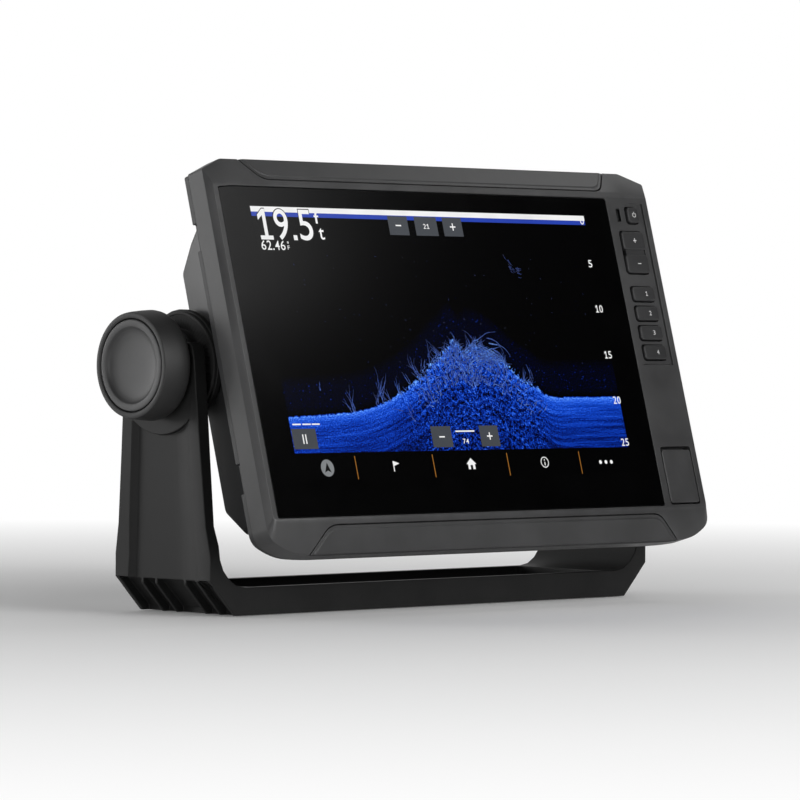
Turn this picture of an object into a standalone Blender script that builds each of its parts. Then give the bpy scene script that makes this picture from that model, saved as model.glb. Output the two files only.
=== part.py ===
"""Fish finder on a bail bracket: display unit, quick-release cradle, bracket and two clamping knobs.

World frame in metres: +X to the user's right, -Y towards the user, +Z up. The origin is on the underside
of the bracket's base, in its middle. The display unit and the cradle are drawn in the head frame, whose
origin is at HEAD_HEIGHT, a little below the tilt axis, and which leans back by TILT. There, "up" is along
the screen and "out" is the distance in front of the origin, towards the user.
"""
import math

import bmesh
import bpy
from mathutils import Matrix, Vector

# Driving dimensions, metres and radians.
TILT = math.radians(15.5)
HEAD_HEIGHT = 0.0987
PIVOT_HEIGHT = 0.1025
PIVOT_RISE = PIVOT_HEIGHT - HEAD_HEIGHT
# The tilt axis in the head frame, as y and z.
PIVOT = (-PIVOT_RISE * math.sin(TILT), PIVOT_RISE * math.cos(TILT))
GAP = 0.0003

# Display unit, seen from the front: half width, then heights above the head's origin.
UNIT_HALF_WIDTH = 0.1310
UNIT_TOP = 0.0798
UNIT_BOTTOM = -0.0882
FACE_OUT = 0.0492
BEZEL_BACK_OUT = 0.0375
SIDE_EDGE_OUT = 0.0466
TOP_EDGE_OUT = 0.0446
BOTTOM_EDGE_OUT = 0.0460

# Front glass and the screen behind it, as left, right, bottom, top.
GLASS = (-0.1261, 0.1023, -0.0728, 0.0665)
GLASS_THICKNESS = 0.0018
SCREEN_WINDOW = (-0.1130, 0.0890, -0.0612, 0.0616)

# Keys on the right rail.
KEY_LEFT, KEY_RIGHT = 0.1077, 0.1218
KEY_PROUD = 0.0008
POWER_KEY = (0.1142, 0.1213, 0.0556, 0.0627)
ROCKER = (KEY_LEFT, KEY_RIGHT, 0.0325, 0.0515)
NUMBER_KEY_HEIGHT = 0.0064
NUMBER_KEY_TOPS = [0.0261 - 0.0089 * row for row in range(4)]
SENSOR = (0.1083, 0.1103, 0.0564, 0.0620)

# Card door at the bottom of the right rail.
DOOR_POCKET = (0.1063, 0.1256, -0.0726, -0.0465)
DOOR_TOP_GAP = 0.0016
DOOR_THICKNESS = 0.0030
DOOR_PIN_UP = -0.0703
DOOR_PIN_OUT = 0.0474
DOOR_PIN_RADIUS = 0.0008

# Rear housing.
FLANGE_BACK_OUT = 0.0345
HOUSING_WALL = 0.0026
REAR_OUT = 0.0020
# Each level of the housing: distance in front of the head's origin, half width, top, bottom.
HOUSING_LEVELS = [(FLANGE_BACK_OUT + 0.001, 0.1183, 0.0705, -0.0750), (0.0150, 0.1158, 0.0540, -0.0722),
                  (0.0050, 0.1136, 0.0450, -0.0628), (REAR_OUT, 0.1100, 0.0405, -0.0590)]
HOUSING_CORNER = 0.0028
# The housing seal's ring, as left, right, bottom, top.
SEAL_OUTER = (-0.1245, 0.1278, -0.0765, 0.0712)
SEAL_INNER = (-0.1229, 0.1262, -0.0750, 0.0697)
SCREW_SPOTS = [(side * 0.100, up) for up in (0.0746, -0.0812) for side in (-1, 0, 1)]

# Cradle, knobs and pivots, as distances from the middle plane.
CHEEK_INNER = 0.1174
CHEEK_OUTER = 0.1200
CHEEK_RADIUS = 0.0232
DISC_RADIUS = 0.0222
DISC_FACE = 0.1214
DISC_HUB_RADIUS = 0.0150
DISC_HUB_OUTER = 0.1251
TEETH = 16
STUD_RADIUS = 0.0037
BORE_RADIUS = 0.0041
KNOB_RADIUS = 0.0228
KNOB_OUTER = 0.1473
KNOB_INNER = 0.1336
POCKET_FLOOR_OUT = -0.0006
LATCH_X = 0.024
LEVER_PIN = (0.0050, 0.0560)
LEVER_BORE_RADIUS = 0.0018
SOCKET_PLACES = (-0.0270, -0.0090, 0.0090, 0.0270)
SOCKET_UP = -0.0260

# Bracket.
BASE_DEPTH = 0.0598
BASE_HEIGHT = 0.0115
BOSS_RADIUS = 0.0286
ARM_TOP = 0.1120
ARM_BORE_RADIUS = 0.0046
BASE_HOLES = (-0.090, -0.045, 0.045, 0.090)
BASE_HOLE_RADIUS = 0.0027
BASE_BOSS_RADIUS = 0.0075
# Open pockets between the ribs of a lower corner, from front to back.
CORNER_POCKETS = ((-0.0280, -0.0213), (-0.0197, -0.0126), (-0.0110, 0.0056), (0.0072, 0.0144),
                  (0.0160, 0.0275))

SEGMENTS = 24


# ---------------------------------------------------------------- helpers

def clear_scene():
    for old in list(bpy.data.objects):
        bpy.data.objects.remove(old, do_unlink=True)


def finish_material(name, colour, roughness, metallic=0.0):
    material = bpy.data.materials.new(name)
    material.use_nodes = True
    shader = material.node_tree.nodes["Principled BSDF"]
    shader.inputs["Base Color"].default_value = (*colour, 1.0)
    shader.inputs["Roughness"].default_value = roughness
    shader.inputs["Metallic"].default_value = metallic
    return material


def loft(rings):
    """A closed solid through rings of points, each ring with the same number of points."""
    shape = bmesh.new()
    loops = [[shape.verts.new(point) for point in ring] for ring in rings]
    count = len(loops[0])
    for near, far in zip(loops, loops[1:]):
        for i in range(count):
            j = (i + 1) % count
            shape.faces.new((near[i], near[j], far[j], far[i]))
    shape.faces.new(loops[0][::-1])
    shape.faces.new(loops[-1])
    bmesh.ops.triangulate(shape, faces=[face for face in shape.faces if len(face.verts) == 4])
    bmesh.ops.recalc_face_normals(shape, faces=shape.faces)
    return shape


def prism_x(outline, low, high):
    """An outline of (y, z) points, extruded along X."""
    return loft([[(x, y, z) for y, z in outline] for x in (low, high)])


def prism_y(outline, low, high):
    """An outline of (x, z) points, extruded along Y."""
    return loft([[(x, y, z) for x, z in outline] for y in (low, high)])


def prism_z(outline, low, high):
    """An outline of (x, y) points, extruded along Z."""
    return loft([[(x, y, z) for x, y in outline] for z in (low, high)])


def slab(outline, out_low, out_high):
    """An outline seen from the front of the head, between two distances in front of its origin."""
    return prism_y(outline, -out_high, -out_low)


def section(outline, low, high):
    """A head cross-section of (out, up) points, extruded from side to side."""
    return prism_x([(-out, up) for out, up in outline], low, high)


def rectangle(left, right, bottom, top, grow=0.0, radius=0.0, steps=2):
    """A rectangle with round corners, grown on every side."""
    left, right, bottom, top = left - grow, right + grow, bottom - grow, top + grow
    if radius <= 0.0:
        return [(left, bottom), (right, bottom), (right, top), (left, top)]
    corners = ((right - radius, top - radius, 0), (left + radius, top - radius, 1),
               (left + radius, bottom + radius, 2), (right - radius, bottom + radius, 3))
    points = []
    for centre_x, centre_y, quarter in corners:
        for step in range(steps + 1):
            angle = math.radians(90) * (quarter + step / steps)
            points.append((centre_x + radius * math.cos(angle), centre_y + radius * math.sin(angle)))
    return points


def circle(radius, centre=(0.0, 0.0), segments=SEGMENTS):
    return [(centre[0] + radius * math.cos(math.tau * i / segments),
             centre[1] + radius * math.sin(math.tau * i / segments)) for i in range(segments)]


def turned(profile, segments=SEGMENTS, centre=(0.0, 0.0)):
    """A ring or disc turned about the X axis from (radius, x) points; radius 0 closes onto the axis."""
    shape = bmesh.new()
    loops = []
    for radius, x in profile:
        if radius == 0.0:
            loops.append([shape.verts.new((x, centre[0], centre[1]))] * segments)
        else:
            loops.append([shape.verts.new((x, y, z)) for y, z in circle(radius, centre, segments)])
    pairs = list(zip(loops, loops[1:]))
    if profile[0][0] > 0.0:
        pairs.append((loops[-1], loops[0]))
    for near, far in pairs:
        for i in range(segments):
            j = (i + 1) % segments
            corners = []
            for corner in (near[i], near[j], far[j], far[i]):
                if corner not in corners:
                    corners.append(corner)
            shape.faces.new(corners)
    bmesh.ops.recalc_face_normals(shape, faces=shape.faces)
    return shape


def temporary(shape):
    mesh = bpy.data.meshes.new("temporary")
    shape.to_mesh(mesh)
    shape.free()
    piece = bpy.data.objects.new("temporary", mesh)
    bpy.context.collection.objects.link(piece)
    return piece


def combine(shape, tools, operation):
    """The exact boolean of a shape with each tool in turn."""
    base = temporary(shape)
    helpers = [temporary(tool) for tool in tools]
    for helper in helpers:
        modifier = base.modifiers.new("boolean", "BOOLEAN")
        modifier.operation = operation
        modifier.object = helper
        modifier.solver = "EXACT"
    graph = bpy.context.evaluated_depsgraph_get()
    result = bmesh.new()
    result.from_object(base, graph)
    for helper in [base, *helpers]:
        mesh = helper.data
        bpy.data.objects.remove(helper, do_unlink=True)
        bpy.data.meshes.remove(mesh)
    bmesh.ops.remove_doubles(result, verts=result.verts, dist=1e-6)
    bmesh.ops.dissolve_limit(result, angle_limit=math.radians(0.2), verts=result.verts, edges=result.edges)
    bmesh.ops.triangulate(result, faces=result.faces)
    return result


def cut(shape, *tools):
    return combine(shape, tools, "DIFFERENCE")


def join(shape, *tools):
    return combine(shape, tools, "UNION")


def moved(shape, offset):
    bmesh.ops.translate(shape, verts=shape.verts, vec=Vector(offset))
    return shape


def mirrored(shape):
    """The same shape on the other side of the middle plane."""
    bmesh.ops.scale(shape, verts=shape.verts, vec=(-1.0, 1.0, 1.0))
    bmesh.ops.reverse_faces(shape, faces=shape.faces)
    return shape


def add_piece(name, shape, material, parent=None):
    mesh = bpy.data.meshes.new(name)
    shape.to_mesh(mesh)
    shape.free()
    mesh.materials.append(material)
    mesh.shade_smooth()
    mesh.set_sharp_from_angle(angle=math.radians(35))
    piece = bpy.data.objects.new(name, mesh)
    bpy.context.collection.objects.link(piece)
    piece.parent = parent
    return piece


def add_frame(name):
    frame = bpy.data.objects.new(name, None)
    bpy.context.collection.objects.link(frame)
    return frame


# ---------------------------------------------------------------- bracket

def arm_half_depth(height):
    """Half the arm's front-to-back depth, which narrows from the base to the top."""
    share = min(max((height - 0.0145) / (0.099 - 0.0145), 0.0), 1.0)
    return BASE_DEPTH / 2 - 0.0076 * share ** 0.85


def arm_outer(height):
    """The arm's outer face leans out a little towards the top."""
    return 0.1297 + 0.0022 * min((height - 0.0145) / (0.099 - 0.0145), 1.0)


def bracket_shape():
    stations = [(ARM_TOP, 0.1256, ARM_TOP, 0.0196), (0.1055, 0.1256, 0.1055, 0.0217),
                (0.099, 0.1256, 0.099, arm_half_depth(0.099))]
    half = [((arm_outer(z), z), (inner, z_inner), depth) for z, inner, z_inner, depth in stations]
    for z in (0.080, 0.065, 0.0368):
        half.append(((arm_outer(z), z), (0.1254, z), arm_half_depth(z)))
    half.append(((0.1297, 0.0145), (0.1243, 0.0245), BASE_DEPTH / 2))
    half.append(((0.1230, 0.0074), (0.1178, 0.0144), BASE_DEPTH / 2))
    half.append(((0.1160, 0.0), (0.1100, BASE_HEIGHT), BASE_DEPTH / 2))
    mirror = []
    for outer, inner, depth in reversed(half):
        mirror.append(((-outer[0], outer[1]), (-inner[0], inner[1]), depth))
    rings = []
    for outer, inner, depth in half + mirror:
        rings.append([(outer[0], -depth, outer[1]), (outer[0], depth, outer[1]),
                      (inner[0], depth, inner[1]), (inner[0], -depth, inner[1])])
    bracket = loft(rings)

    channel = prism_z(rectangle(-0.106, 0.106, -0.0262, 0.0262), 0.0045, 0.02)
    bosses = [prism_z(circle(BASE_BOSS_RADIUS, (x, 0.0), 16), 0.004, 0.0085) for x in BASE_HOLES]
    holes = [prism_z(circle(BASE_HOLE_RADIUS, (x, 0.0), 12), -0.01, 0.02) for x in BASE_HOLES]
    bracket = join(cut(bracket, channel), *bosses)

    cutters = holes
    for side in (-1, 1):
        cutters.append(prism_x(circle(ARM_BORE_RADIUS, (0.0, PIVOT_HEIGHT), 24), side * 0.120, side * 0.136))
        cutters.append(arm_recess(side))
        cutters += [corner_pocket(side, low, high) for low, high in CORNER_POCKETS]
    return cut(bracket, *cutters)


def arm_recess(side):
    """The shallow panel in an arm's outer face, clear of the round boss at the pivot."""
    rings = []
    for height in (0.0100, 0.0368, 0.065, 0.080, 0.1005):
        narrow = arm_half_depth(height) / (BASE_DEPTH / 2)
        shift = arm_outer(max(height, 0.0145)) - 0.1297
        profile = [(0.0242, 0.1316), (0.0192, 0.1274), (-0.0060, 0.1274), (-0.0150, 0.1279),
                   (-0.0210, 0.1289), (-0.0268, 0.1316)]
        rings.append([(side * (x + shift), y * narrow, height) for y, x in profile])
    boss = prism_x(circle(BOSS_RADIUS, (0.0, PIVOT_HEIGHT)), side * 0.120, side * 0.140)
    return cut(loft(rings), boss)


def corner_pocket(side, low, high):
    """One open pocket between the ribs of a lower corner."""
    outline = [(0.1320, 0.0142), (0.1250, 0.0142), (0.1216, 0.0112), (0.1130, 0.0025), (0.1130, -0.001),
               (0.1320, -0.001)]
    return prism_y([(side * x, z) for x, z in outline], low, high)


# ---------------------------------------------------------------- knobs and pivots

def knob_shape():
    return turned([(BORE_RADIUS, 0.1422), (BORE_RADIUS, KNOB_INNER), (0.0205, KNOB_INNER), (0.0226, 0.1346),
                   (KNOB_RADIUS, 0.1362), (0.0219, 0.1462), (0.0214, KNOB_OUTER), (0.0197, KNOB_OUTER),
                   (0.0192, 0.1459), (0.0028, 0.1459), (0.0028, 0.1422)], 32)


def knob_cap_shape():
    return turned([(0.0, 0.1462), (0.0189, 0.1462), (0.0189, 0.1469), (0.0184, 0.1472), (0.0159, 0.1472),
                   (0.0148, 0.1468), (0.0, 0.1466)], 24)


def stud_shape():
    tip = [(0.0, 0.1130), (0.0028, 0.1130), (STUD_RADIUS, 0.1139)]
    return turned(tip + [(STUD_RADIUS, 0.1419), (0.0, 0.1419)], 16)


def knob_washer_shape():
    return turned([(0.0044, 0.1323), (0.0130, 0.1323), (0.0130, 0.1333), (0.0044, 0.1333)], 20)


def friction_disc_shape():
    """A toothed disc on the cradle's cheek, with a thick hub that grips the inside of the arm."""
    disc = turned([(0.0050, CHEEK_OUTER + GAP), (DISC_RADIUS, CHEEK_OUTER + GAP),
                   (DISC_RADIUS, DISC_FACE - 0.0005), (DISC_RADIUS - 0.0005, DISC_FACE),
                   (DISC_HUB_RADIUS, DISC_FACE), (DISC_HUB_RADIUS, DISC_HUB_OUTER), (0.0050, DISC_HUB_OUTER)], 32)
    teeth = []
    for tooth in range(TEETH):
        notch = prism_x(rectangle(DISC_RADIUS - 0.0040, DISC_RADIUS + 0.001, -0.0007, 0.0007),
                        DISC_FACE - 0.0006, DISC_FACE + 0.001)
        turn = Matrix.Rotation(math.tau * (tooth + 0.5) / TEETH, 3, "X")
        bmesh.ops.rotate(notch, verts=notch.verts, cent=(0, 0, 0), matrix=turn)
        teeth.append(notch)
    return cut(disc, *teeth)


def threaded_insert_shape():
    return turned([(BORE_RADIUS, 0.1145), (0.0060, 0.1145), (0.0060, 0.1197), (BORE_RADIUS, 0.1197)], 16)


# ---------------------------------------------------------------- cradle

def cradle_shape():
    plate = section([(-0.0035, -0.048), (0.0014, -0.048), (0.0014, 0.036), (-0.0035, 0.036)], -0.1030, 0.1030)
    parts = []
    for side in (-1, 1):
        cheek = prism_x(circle(CHEEK_RADIUS, PIVOT, 32), side * CHEEK_INNER, side * CHEEK_OUTER)
        block = section([(-0.0135, -0.0145), (0.0014, -0.0145), (0.0014, 0.0215), (-0.0135, 0.0215)],
                        side * 0.1000, side * CHEEK_OUTER)
        hub = prism_x(circle(0.0090, PIVOT), side * 0.1125, side * CHEEK_OUTER)
        parts += [cheek, block]
        parts.append(cut(hub, slab(rectangle(-0.14, 0.14, -0.02, 0.02), 0.0012, 0.02)))
        foot = [(-0.0035, -0.040), (0.0014, -0.040), (0.0014, -0.0600), (0.0122, -0.0718), (0.0150, -0.0728),
                (0.0150, -0.0762), (0.0118, -0.0762), (-0.0035, -0.0640)]
        parts.append(section(foot, side * 0.036, side * 0.082))
        lug = [(-0.0035, 0.030), (0.0014, 0.030), (0.0014, 0.0580), (-0.0020, 0.0606), (-0.0070, 0.0606),
               (-0.0092, 0.0580), (-0.0092, 0.0500)]
        parts.append(section(lug, LATCH_X + side * 0.0252, LATCH_X + side * 0.0330))
    cradle = join(plate, *parts)

    cutters = [slab(rectangle(-0.0363, 0.0363, -0.0383, -0.0137), -0.02, 0.01)]
    for side in (-1, 1):
        cutters.append(prism_x(circle(0.0063, PIVOT), side * 0.1142, side * 0.130))
        cutters.append(prism_x(circle(0.0047, PIVOT), side * 0.1090, side * 0.130))
        edges = sorted((side * 0.048, side * 0.095))
        for bottom, top in ((-0.040, -0.008), (0.000, 0.030)):
            cutters.append(slab(rectangle(*edges, bottom, top), -0.01, POCKET_FLOOR_OUT))
    cutters.append(slab(rectangle(-0.036, 0.036, 0.000, 0.026), -0.01, POCKET_FLOOR_OUT))
    cutters.append(prism_x(circle(LEVER_BORE_RADIUS, LEVER_PIN, 16), LATCH_X - 0.05, LATCH_X + 0.05))
    return cut(cradle, *cutters)


def release_lever_shape():
    outline = [(-0.0075, 0.0540), (-0.0028, 0.0532), (-0.0010, 0.0579), (0.0100, 0.0579), (0.0129, 0.0539),
               (0.0146, 0.0546), (0.0156, 0.0585), (0.0135, 0.0618), (-0.0060, 0.0622), (-0.0150, 0.0640),
               (-0.0168, 0.0612), (-0.0090, 0.0578)]
    lever = section(outline, LATCH_X - 0.0248, LATCH_X + 0.0130)
    return cut(lever, prism_x(circle(LEVER_BORE_RADIUS, LEVER_PIN, 16), LATCH_X - 0.03, LATCH_X + 0.03))


def lever_pin_shape():
    return prism_x(circle(0.0015, LEVER_PIN, 16), LATCH_X - 0.0330, LATCH_X + 0.0330)


def lever_spring_shape():
    """A torsion spring of round wire on the lever's pin."""
    turns, per_turn, wire, radius = 3, 12, 0.00045, 0.0028
    pitch = 0.0020
    rings = []
    for step in range(turns * per_turn + 1):
        angle = math.tau * step / per_turn
        x = LATCH_X + 0.0150 + pitch * step / per_turn
        out = Vector((0.0, math.cos(angle), math.sin(angle)))
        centre = Vector((x, *LEVER_PIN)) + out * radius
        ring = []
        for corner in range(5):
            turn = math.tau * corner / 5
            along = Vector((wire * math.sin(turn), 0.0, 0.0))
            ring.append(tuple(centre + out * wire * math.cos(turn) + along))
        rings.append(ring)
    return loft(rings)


def cradle_connector_shape():
    block = slab(rectangle(-0.0360, 0.0360, -0.0380, -0.0140, radius=0.002), -0.0080, 0.0014)
    plug = slab(rectangle(-0.0240, 0.0240, -0.0305, -0.0215, radius=0.002), 0.0010, 0.0052)
    contacts = [slab(circle(0.0009, (-0.0195 + 0.0065 * i, SOCKET_UP), 8), 0.0050, 0.0058) for i in range(7)]
    bores = [slab(circle(0.0016, (x, SOCKET_UP), 12), -0.02, -0.0060) for x in SOCKET_PLACES]
    return cut(join(block, plug, *contacts), *bores)


def socket_shape(x, pins):
    """A round cable socket with a locking collar and its contact pins, open to the rear."""
    body = turned_about_y([(0.0, 0.0083), (0.0076, 0.0083), (0.0076, 0.0110), (0.0068, 0.0112),
                           (0.0068, 0.0200), (0.0056, 0.0200), (0.0056, 0.0110), (0.0, 0.0110)])
    contacts = []
    for pin in range(pins):
        angle = math.tau * pin / pins
        centre = (0.0030 * math.cos(angle), 0.0030 * math.sin(angle))
        contacts.append(prism_y(circle(0.0005, centre, 6), 0.0105, 0.0170))
    return moved(join(body, *contacts), (x, 0.0, SOCKET_UP))


def turned_about_y(profile, segments=20):
    """A shape turned about the Y axis from (radius, y) points that start and end on the axis."""
    shape = turned(profile, segments)
    turn = Matrix.Rotation(math.radians(90), 3, "Z")
    bmesh.ops.rotate(shape, verts=shape.verts, cent=(0, 0, 0), matrix=turn)
    return shape


def socket_cap_shape(x):
    cap = turned_about_y([(0.0, 0.0222), (0.0080, 0.0222), (0.0080, 0.0116), (0.0071, 0.0116),
                          (0.0071, 0.0203), (0.0, 0.0203)])
    return moved(cap, (x, 0.0, SOCKET_UP))


# ---------------------------------------------------------------- front of the display unit

def unit_outline(shrink=0.0):
    """The unit seen from the front: long sides with slanted corners, the bottom corners in two slants."""
    half = [(UNIT_HALF_WIDTH, -0.0810), (UNIT_HALF_WIDTH, 0.0745), (0.1185, UNIT_TOP)]
    low = [(0.1060, UNIT_BOTTOM), (0.1200, -0.0870)]
    right = [(x - shrink, z - math.copysign(shrink, z)) for x, z in low + half]
    return right + [(-x, z) for x, z in reversed(right)]


def bezel_rings():
    back = [(x, -BEZEL_BACK_OUT, z) for x, z in unit_outline()]
    edge_out = [BOTTOM_EDGE_OUT, BOTTOM_EDGE_OUT, SIDE_EDGE_OUT, SIDE_EDGE_OUT, TOP_EDGE_OUT]
    edge = []
    for (x, z), out in zip(unit_outline(), edge_out + edge_out[::-1]):
        edge.append((x, -out, z))
    right = [(0.1060, -0.0760), (0.1190, -0.0758), (0.1288, -0.0740), (0.1288, 0.0674), (0.1170, 0.0696)]
    ridge = [(x, -FACE_OUT, z) for x, z in right + [(-x, z) for x, z in reversed(right)]]
    return [back, edge, ridge]


def front_bezel_shape():
    bezel = loft(bezel_rings())
    cutters = [slab(rectangle(-0.1215, 0.1035, -0.0700, 0.0660), 0.03, 0.0446),
               slab(rectangle(0.1030, 0.1255, -0.0700, 0.0665), 0.03, 0.0422),
               slab(rectangle(*GLASS, grow=GAP, radius=0.003), FACE_OUT - GLASS_THICKNESS - 2 * GAP, 0.06),
               slab(rectangle(*SCREEN_WINDOW), 0.03, 0.06)]
    bezel = cut(bezel, *cutters)
    cutters = []
    for place in key_places().values():
        cutters.append(slab(rectangle(*place, grow=0.0004, radius=0.0018), 0.03, 0.06))
    cutters.append(slab(rectangle(*SENSOR, grow=GAP, radius=0.0006), 0.0464, 0.06))
    cutters.append(slab(rectangle(*DOOR_POCKET, radius=0.0015), 0.0452, 0.06))
    cutters.append(slab(rectangle(0.1100, 0.1215, -0.0660, -0.0520), 0.03, 0.06))
    pin = (-DOOR_PIN_OUT, DOOR_PIN_UP)
    cutters.append(prism_x(circle(DOOR_PIN_RADIUS + GAP, pin, 16), 0.1050, 0.1269))
    cutters += [slab(circle(0.0014, spot, 12), 0.03, 0.0445) for spot in SCREW_SPOTS]
    for top in (True, False):
        cutters.append(trim_shape(top, grow=GAP))
    return cut(bezel, *cutters)


def trim_shape(top, grow=0.0):
    """A snap-on cover strip that lies in the bezel's slanted top or bottom edge, with slanted ends.

    Grown, it is the cutter for its own recess, which runs out past the edge and stands above the face.
    """
    if top:
        inner, outer, inner_half, outer_half = (0.0702, 0.0490), (0.0798, 0.0446), 0.1006, 0.1084
    else:
        inner, outer, inner_half, outer_half = (-0.0766, 0.0491), (-0.0882, 0.0460), 0.0982, 0.1095
    inner, outer = Vector(inner), Vector(outer)
    lean = (outer - inner).normalized()
    sink = Vector((-abs(lean[1]) * math.copysign(1, outer[0]), -abs(lean[0])))
    slant = (outer_half - inner_half) / (outer - inner).length
    corners = [(1.0, 0.0), (0.36, 0.0036), (0.10, 0.0010), (0.0, -0.0050)]
    levels = (0.0, 0.0018) if grow == 0.0 else (-0.0030, 0.0018 + grow)
    over = 0.0020 if grow else 0.0
    rings = []
    for sunk in levels:
        ring = []
        for side in (1, -1):
            points = []
            for share, spread in corners:
                place = inner.lerp(outer, share) + sink * sunk - lean * grow * (share == 0.0)
                half = inner_half + spread + 1.3 * grow
                if share == 1.0:
                    place += lean * over
                    half = outer_half + slant * over + 1.3 * grow
                points.append((side * half, -place[1], place[0]))
            ring += points if side == 1 else points[::-1]
        rings.append(ring)
    return loft(rings)


def key_places():
    places = {"power_key": POWER_KEY, "zoom_rocker": ROCKER}
    for row, top in enumerate(NUMBER_KEY_TOPS):
        places["key_%d" % (row + 1)] = (KEY_LEFT, KEY_RIGHT, top - NUMBER_KEY_HEIGHT, top)
    return places


def key_shape(place):
    """A key cap that stands proud of the rail, with a flange behind the rail that holds it in."""
    cap = slab(rectangle(*place, radius=0.0015), 0.0410, FACE_OUT + KEY_PROUD)
    left, right, bottom, top = place
    flange = slab(rectangle(left - 0.0010, right + 0.0010, bottom - 0.0009, top + 0.0009), 0.0407, 0.0417)
    return join(cap, flange)


def rocker_shape():
    left, right, bottom, top = ROCKER
    middle = (bottom + top) / 2
    cap = slab(rectangle(*ROCKER, radius=0.0015), 0.0412, FACE_OUT + KEY_PROUD)
    saddle = rectangle(left - 0.001, right + 0.001, middle - 0.0010, middle + 0.0010)
    notches = [slab(rectangle(left - 0.001, left + 0.0004, middle - 0.0004, middle + 0.0004), 0.03, 0.06),
               slab(saddle, FACE_OUT + 0.0001, 0.06)]
    flange = slab(rectangle(left - 0.0009, right + 0.0009, bottom + 0.0030, top - 0.0030), 0.0407, 0.0417)
    return cut(join(cap, flange), *notches)


def key_mat_shape():
    mat = slab(rectangle(0.1050, 0.1250, -0.0120, 0.0655, radius=0.002), 0.0387, 0.0393)
    domes = []
    for left, right, bottom, top in key_places().values():
        centre = ((left + right) / 2, (bottom + top) / 2)
        domes.append(slab(circle(0.0022, centre, 8), 0.0390, 0.0396))
    return join(mat, *domes)


def keypad_board_shape():
    board = slab(rectangle(0.1050, 0.1250, -0.0130, 0.0660), 0.0376, 0.0384)
    return cut(board, *[slab(circle(0.0010, (0.1150, up), 12), 0.03, 0.05) for up in (-0.0105, 0.0305)])


def card_door_shape():
    left, right, bottom, top = DOOR_POCKET
    left, right, top = left + 0.0005, right - 0.0005, top - DOOR_TOP_GAP
    door = slab(rectangle(left, right, DOOR_PIN_UP, top, radius=0.0014), FACE_OUT - DOOR_THICKNESS, FACE_OUT)
    knuckle = prism_x(circle(0.0018, (-DOOR_PIN_OUT, DOOR_PIN_UP), 24), left, right)
    bore = prism_x(circle(DOOR_PIN_RADIUS + GAP, (-DOOR_PIN_OUT, DOOR_PIN_UP), 16), left - 0.01, right + 0.01)
    return cut(join(door, knuckle), bore)


def door_seal_shape():
    ring = slab(rectangle(0.1080, 0.1235, -0.0675, -0.0500, radius=0.001), 0.0455, 0.0459)
    return cut(ring, slab(rectangle(0.1095, 0.1220, -0.0662, -0.0515), 0.03, 0.06))


def card_reader_shape():
    reader = slab(rectangle(0.1075, 0.1240, -0.0680, -0.0500), 0.0378, 0.0419)
    return cut(reader, slab(rectangle(0.1100, 0.1215, -0.0606, -0.0584), 0.0392, 0.06))


# ---------------------------------------------------------------- rear of the display unit

def eight_sided(half, top, bottom, corner):
    return [(half, bottom + corner), (half, top - corner), (half - corner, top), (corner - half, top),
            (-half, top - corner), (-half, bottom + corner), (corner - half, bottom), (half - corner, bottom)]


def housing_body(inset=0.0):
    rings = []
    for level, (out, half, top, bottom) in enumerate(HOUSING_LEVELS):
        if inset and level == 0:
            out = 0.04
        outline = eight_sided(half - inset, top - inset, bottom + inset, HOUSING_CORNER)
        lift = inset if level >= 2 else 0.0
        rings.append([(x, -(out + lift), z) for x, z in outline])
    return loft(rings)


def rear_housing_shape():
    flange = slab(unit_outline(0.0005), FLANGE_BACK_OUT, BEZEL_BACK_OUT - GAP)
    catch_outline = [(0.0060, 0.0440), (0.0130, 0.0500), (0.0120, 0.0538), (0.0095, 0.0572), (0.0076, 0.0572)]
    catch = section(catch_outline, LATCH_X - 0.022, LATCH_X + 0.012)
    housing = join(flange, housing_body(), catch)
    cutters = [housing_body(HOUSING_WALL), slab(rectangle(-0.0303, 0.0303, -0.0373, -0.0147), -0.01, 0.02)]
    for side in (-1, 1):
        edges = sorted((side * 0.1290, side * 0.1400))
        for bottom, top in ((0.0426, 0.0538), (-0.0596, -0.0473)):
            cutters.append(slab(rectangle(*edges, bottom, top), 0.03, 0.04))
    for spot in SCREW_SPOTS:
        cutters.append(slab(circle(0.0015, spot, 12), 0.03, 0.04))
        cutters.append(slab(circle(0.0030, spot, 16), 0.03, 0.0357))
    housing = cut(housing, *cutters)
    groove = slab(rectangle(*SEAL_OUTER, grow=GAP), 0.0359, 0.04)
    return cut(housing, cut(groove, slab(rectangle(*SEAL_INNER, grow=-GAP), 0.03, 0.05)))


def housing_seal_shape():
    ring = slab(rectangle(*SEAL_OUTER), 0.0362, 0.0372)
    return cut(ring, slab(rectangle(*SEAL_INNER), 0.03, 0.05))


def housing_screw_shape(spot):
    screw = turned_about_y([(0.0, -0.0430), (0.0009, -0.0430), (0.0012, -0.0423), (0.0012, -0.0354),
                            (0.0026, -0.0354), (0.0026, -0.0343), (0.0020, -0.0339), (0.0, -0.0339)], 12)
    return moved(screw, (spot[0], 0.0, spot[1]))


def unit_connector_shape():
    block = slab(rectangle(-0.0300, 0.0300, -0.0370, -0.0150), REAR_OUT, 0.0120)
    pocket = slab(rectangle(-0.0252, 0.0252, -0.0325, -0.0188, radius=0.002), 0.0, 0.0070)
    return cut(block, pocket)


def lcd_panel_shape():
    left, right, bottom, top = SCREEN_WINDOW
    outline = rectangle(left, right, bottom, top, grow=-0.0005)
    return slab(outline, 0.0410, FACE_OUT - GLASS_THICKNESS - 0.0010)


def panel_frame_shape():
    plate = slab(rectangle(-0.1160, 0.0980, -0.0660, 0.0640), 0.0380, 0.0402)
    holes = []
    for x in (-0.085, -0.030, 0.025, 0.070):
        for up in (-0.033, 0.031):
            holes.append(slab(rectangle(x - 0.018, x + 0.018, up - 0.022, up + 0.022), 0.03, 0.05))
    return cut(plate, *holes)


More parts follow.
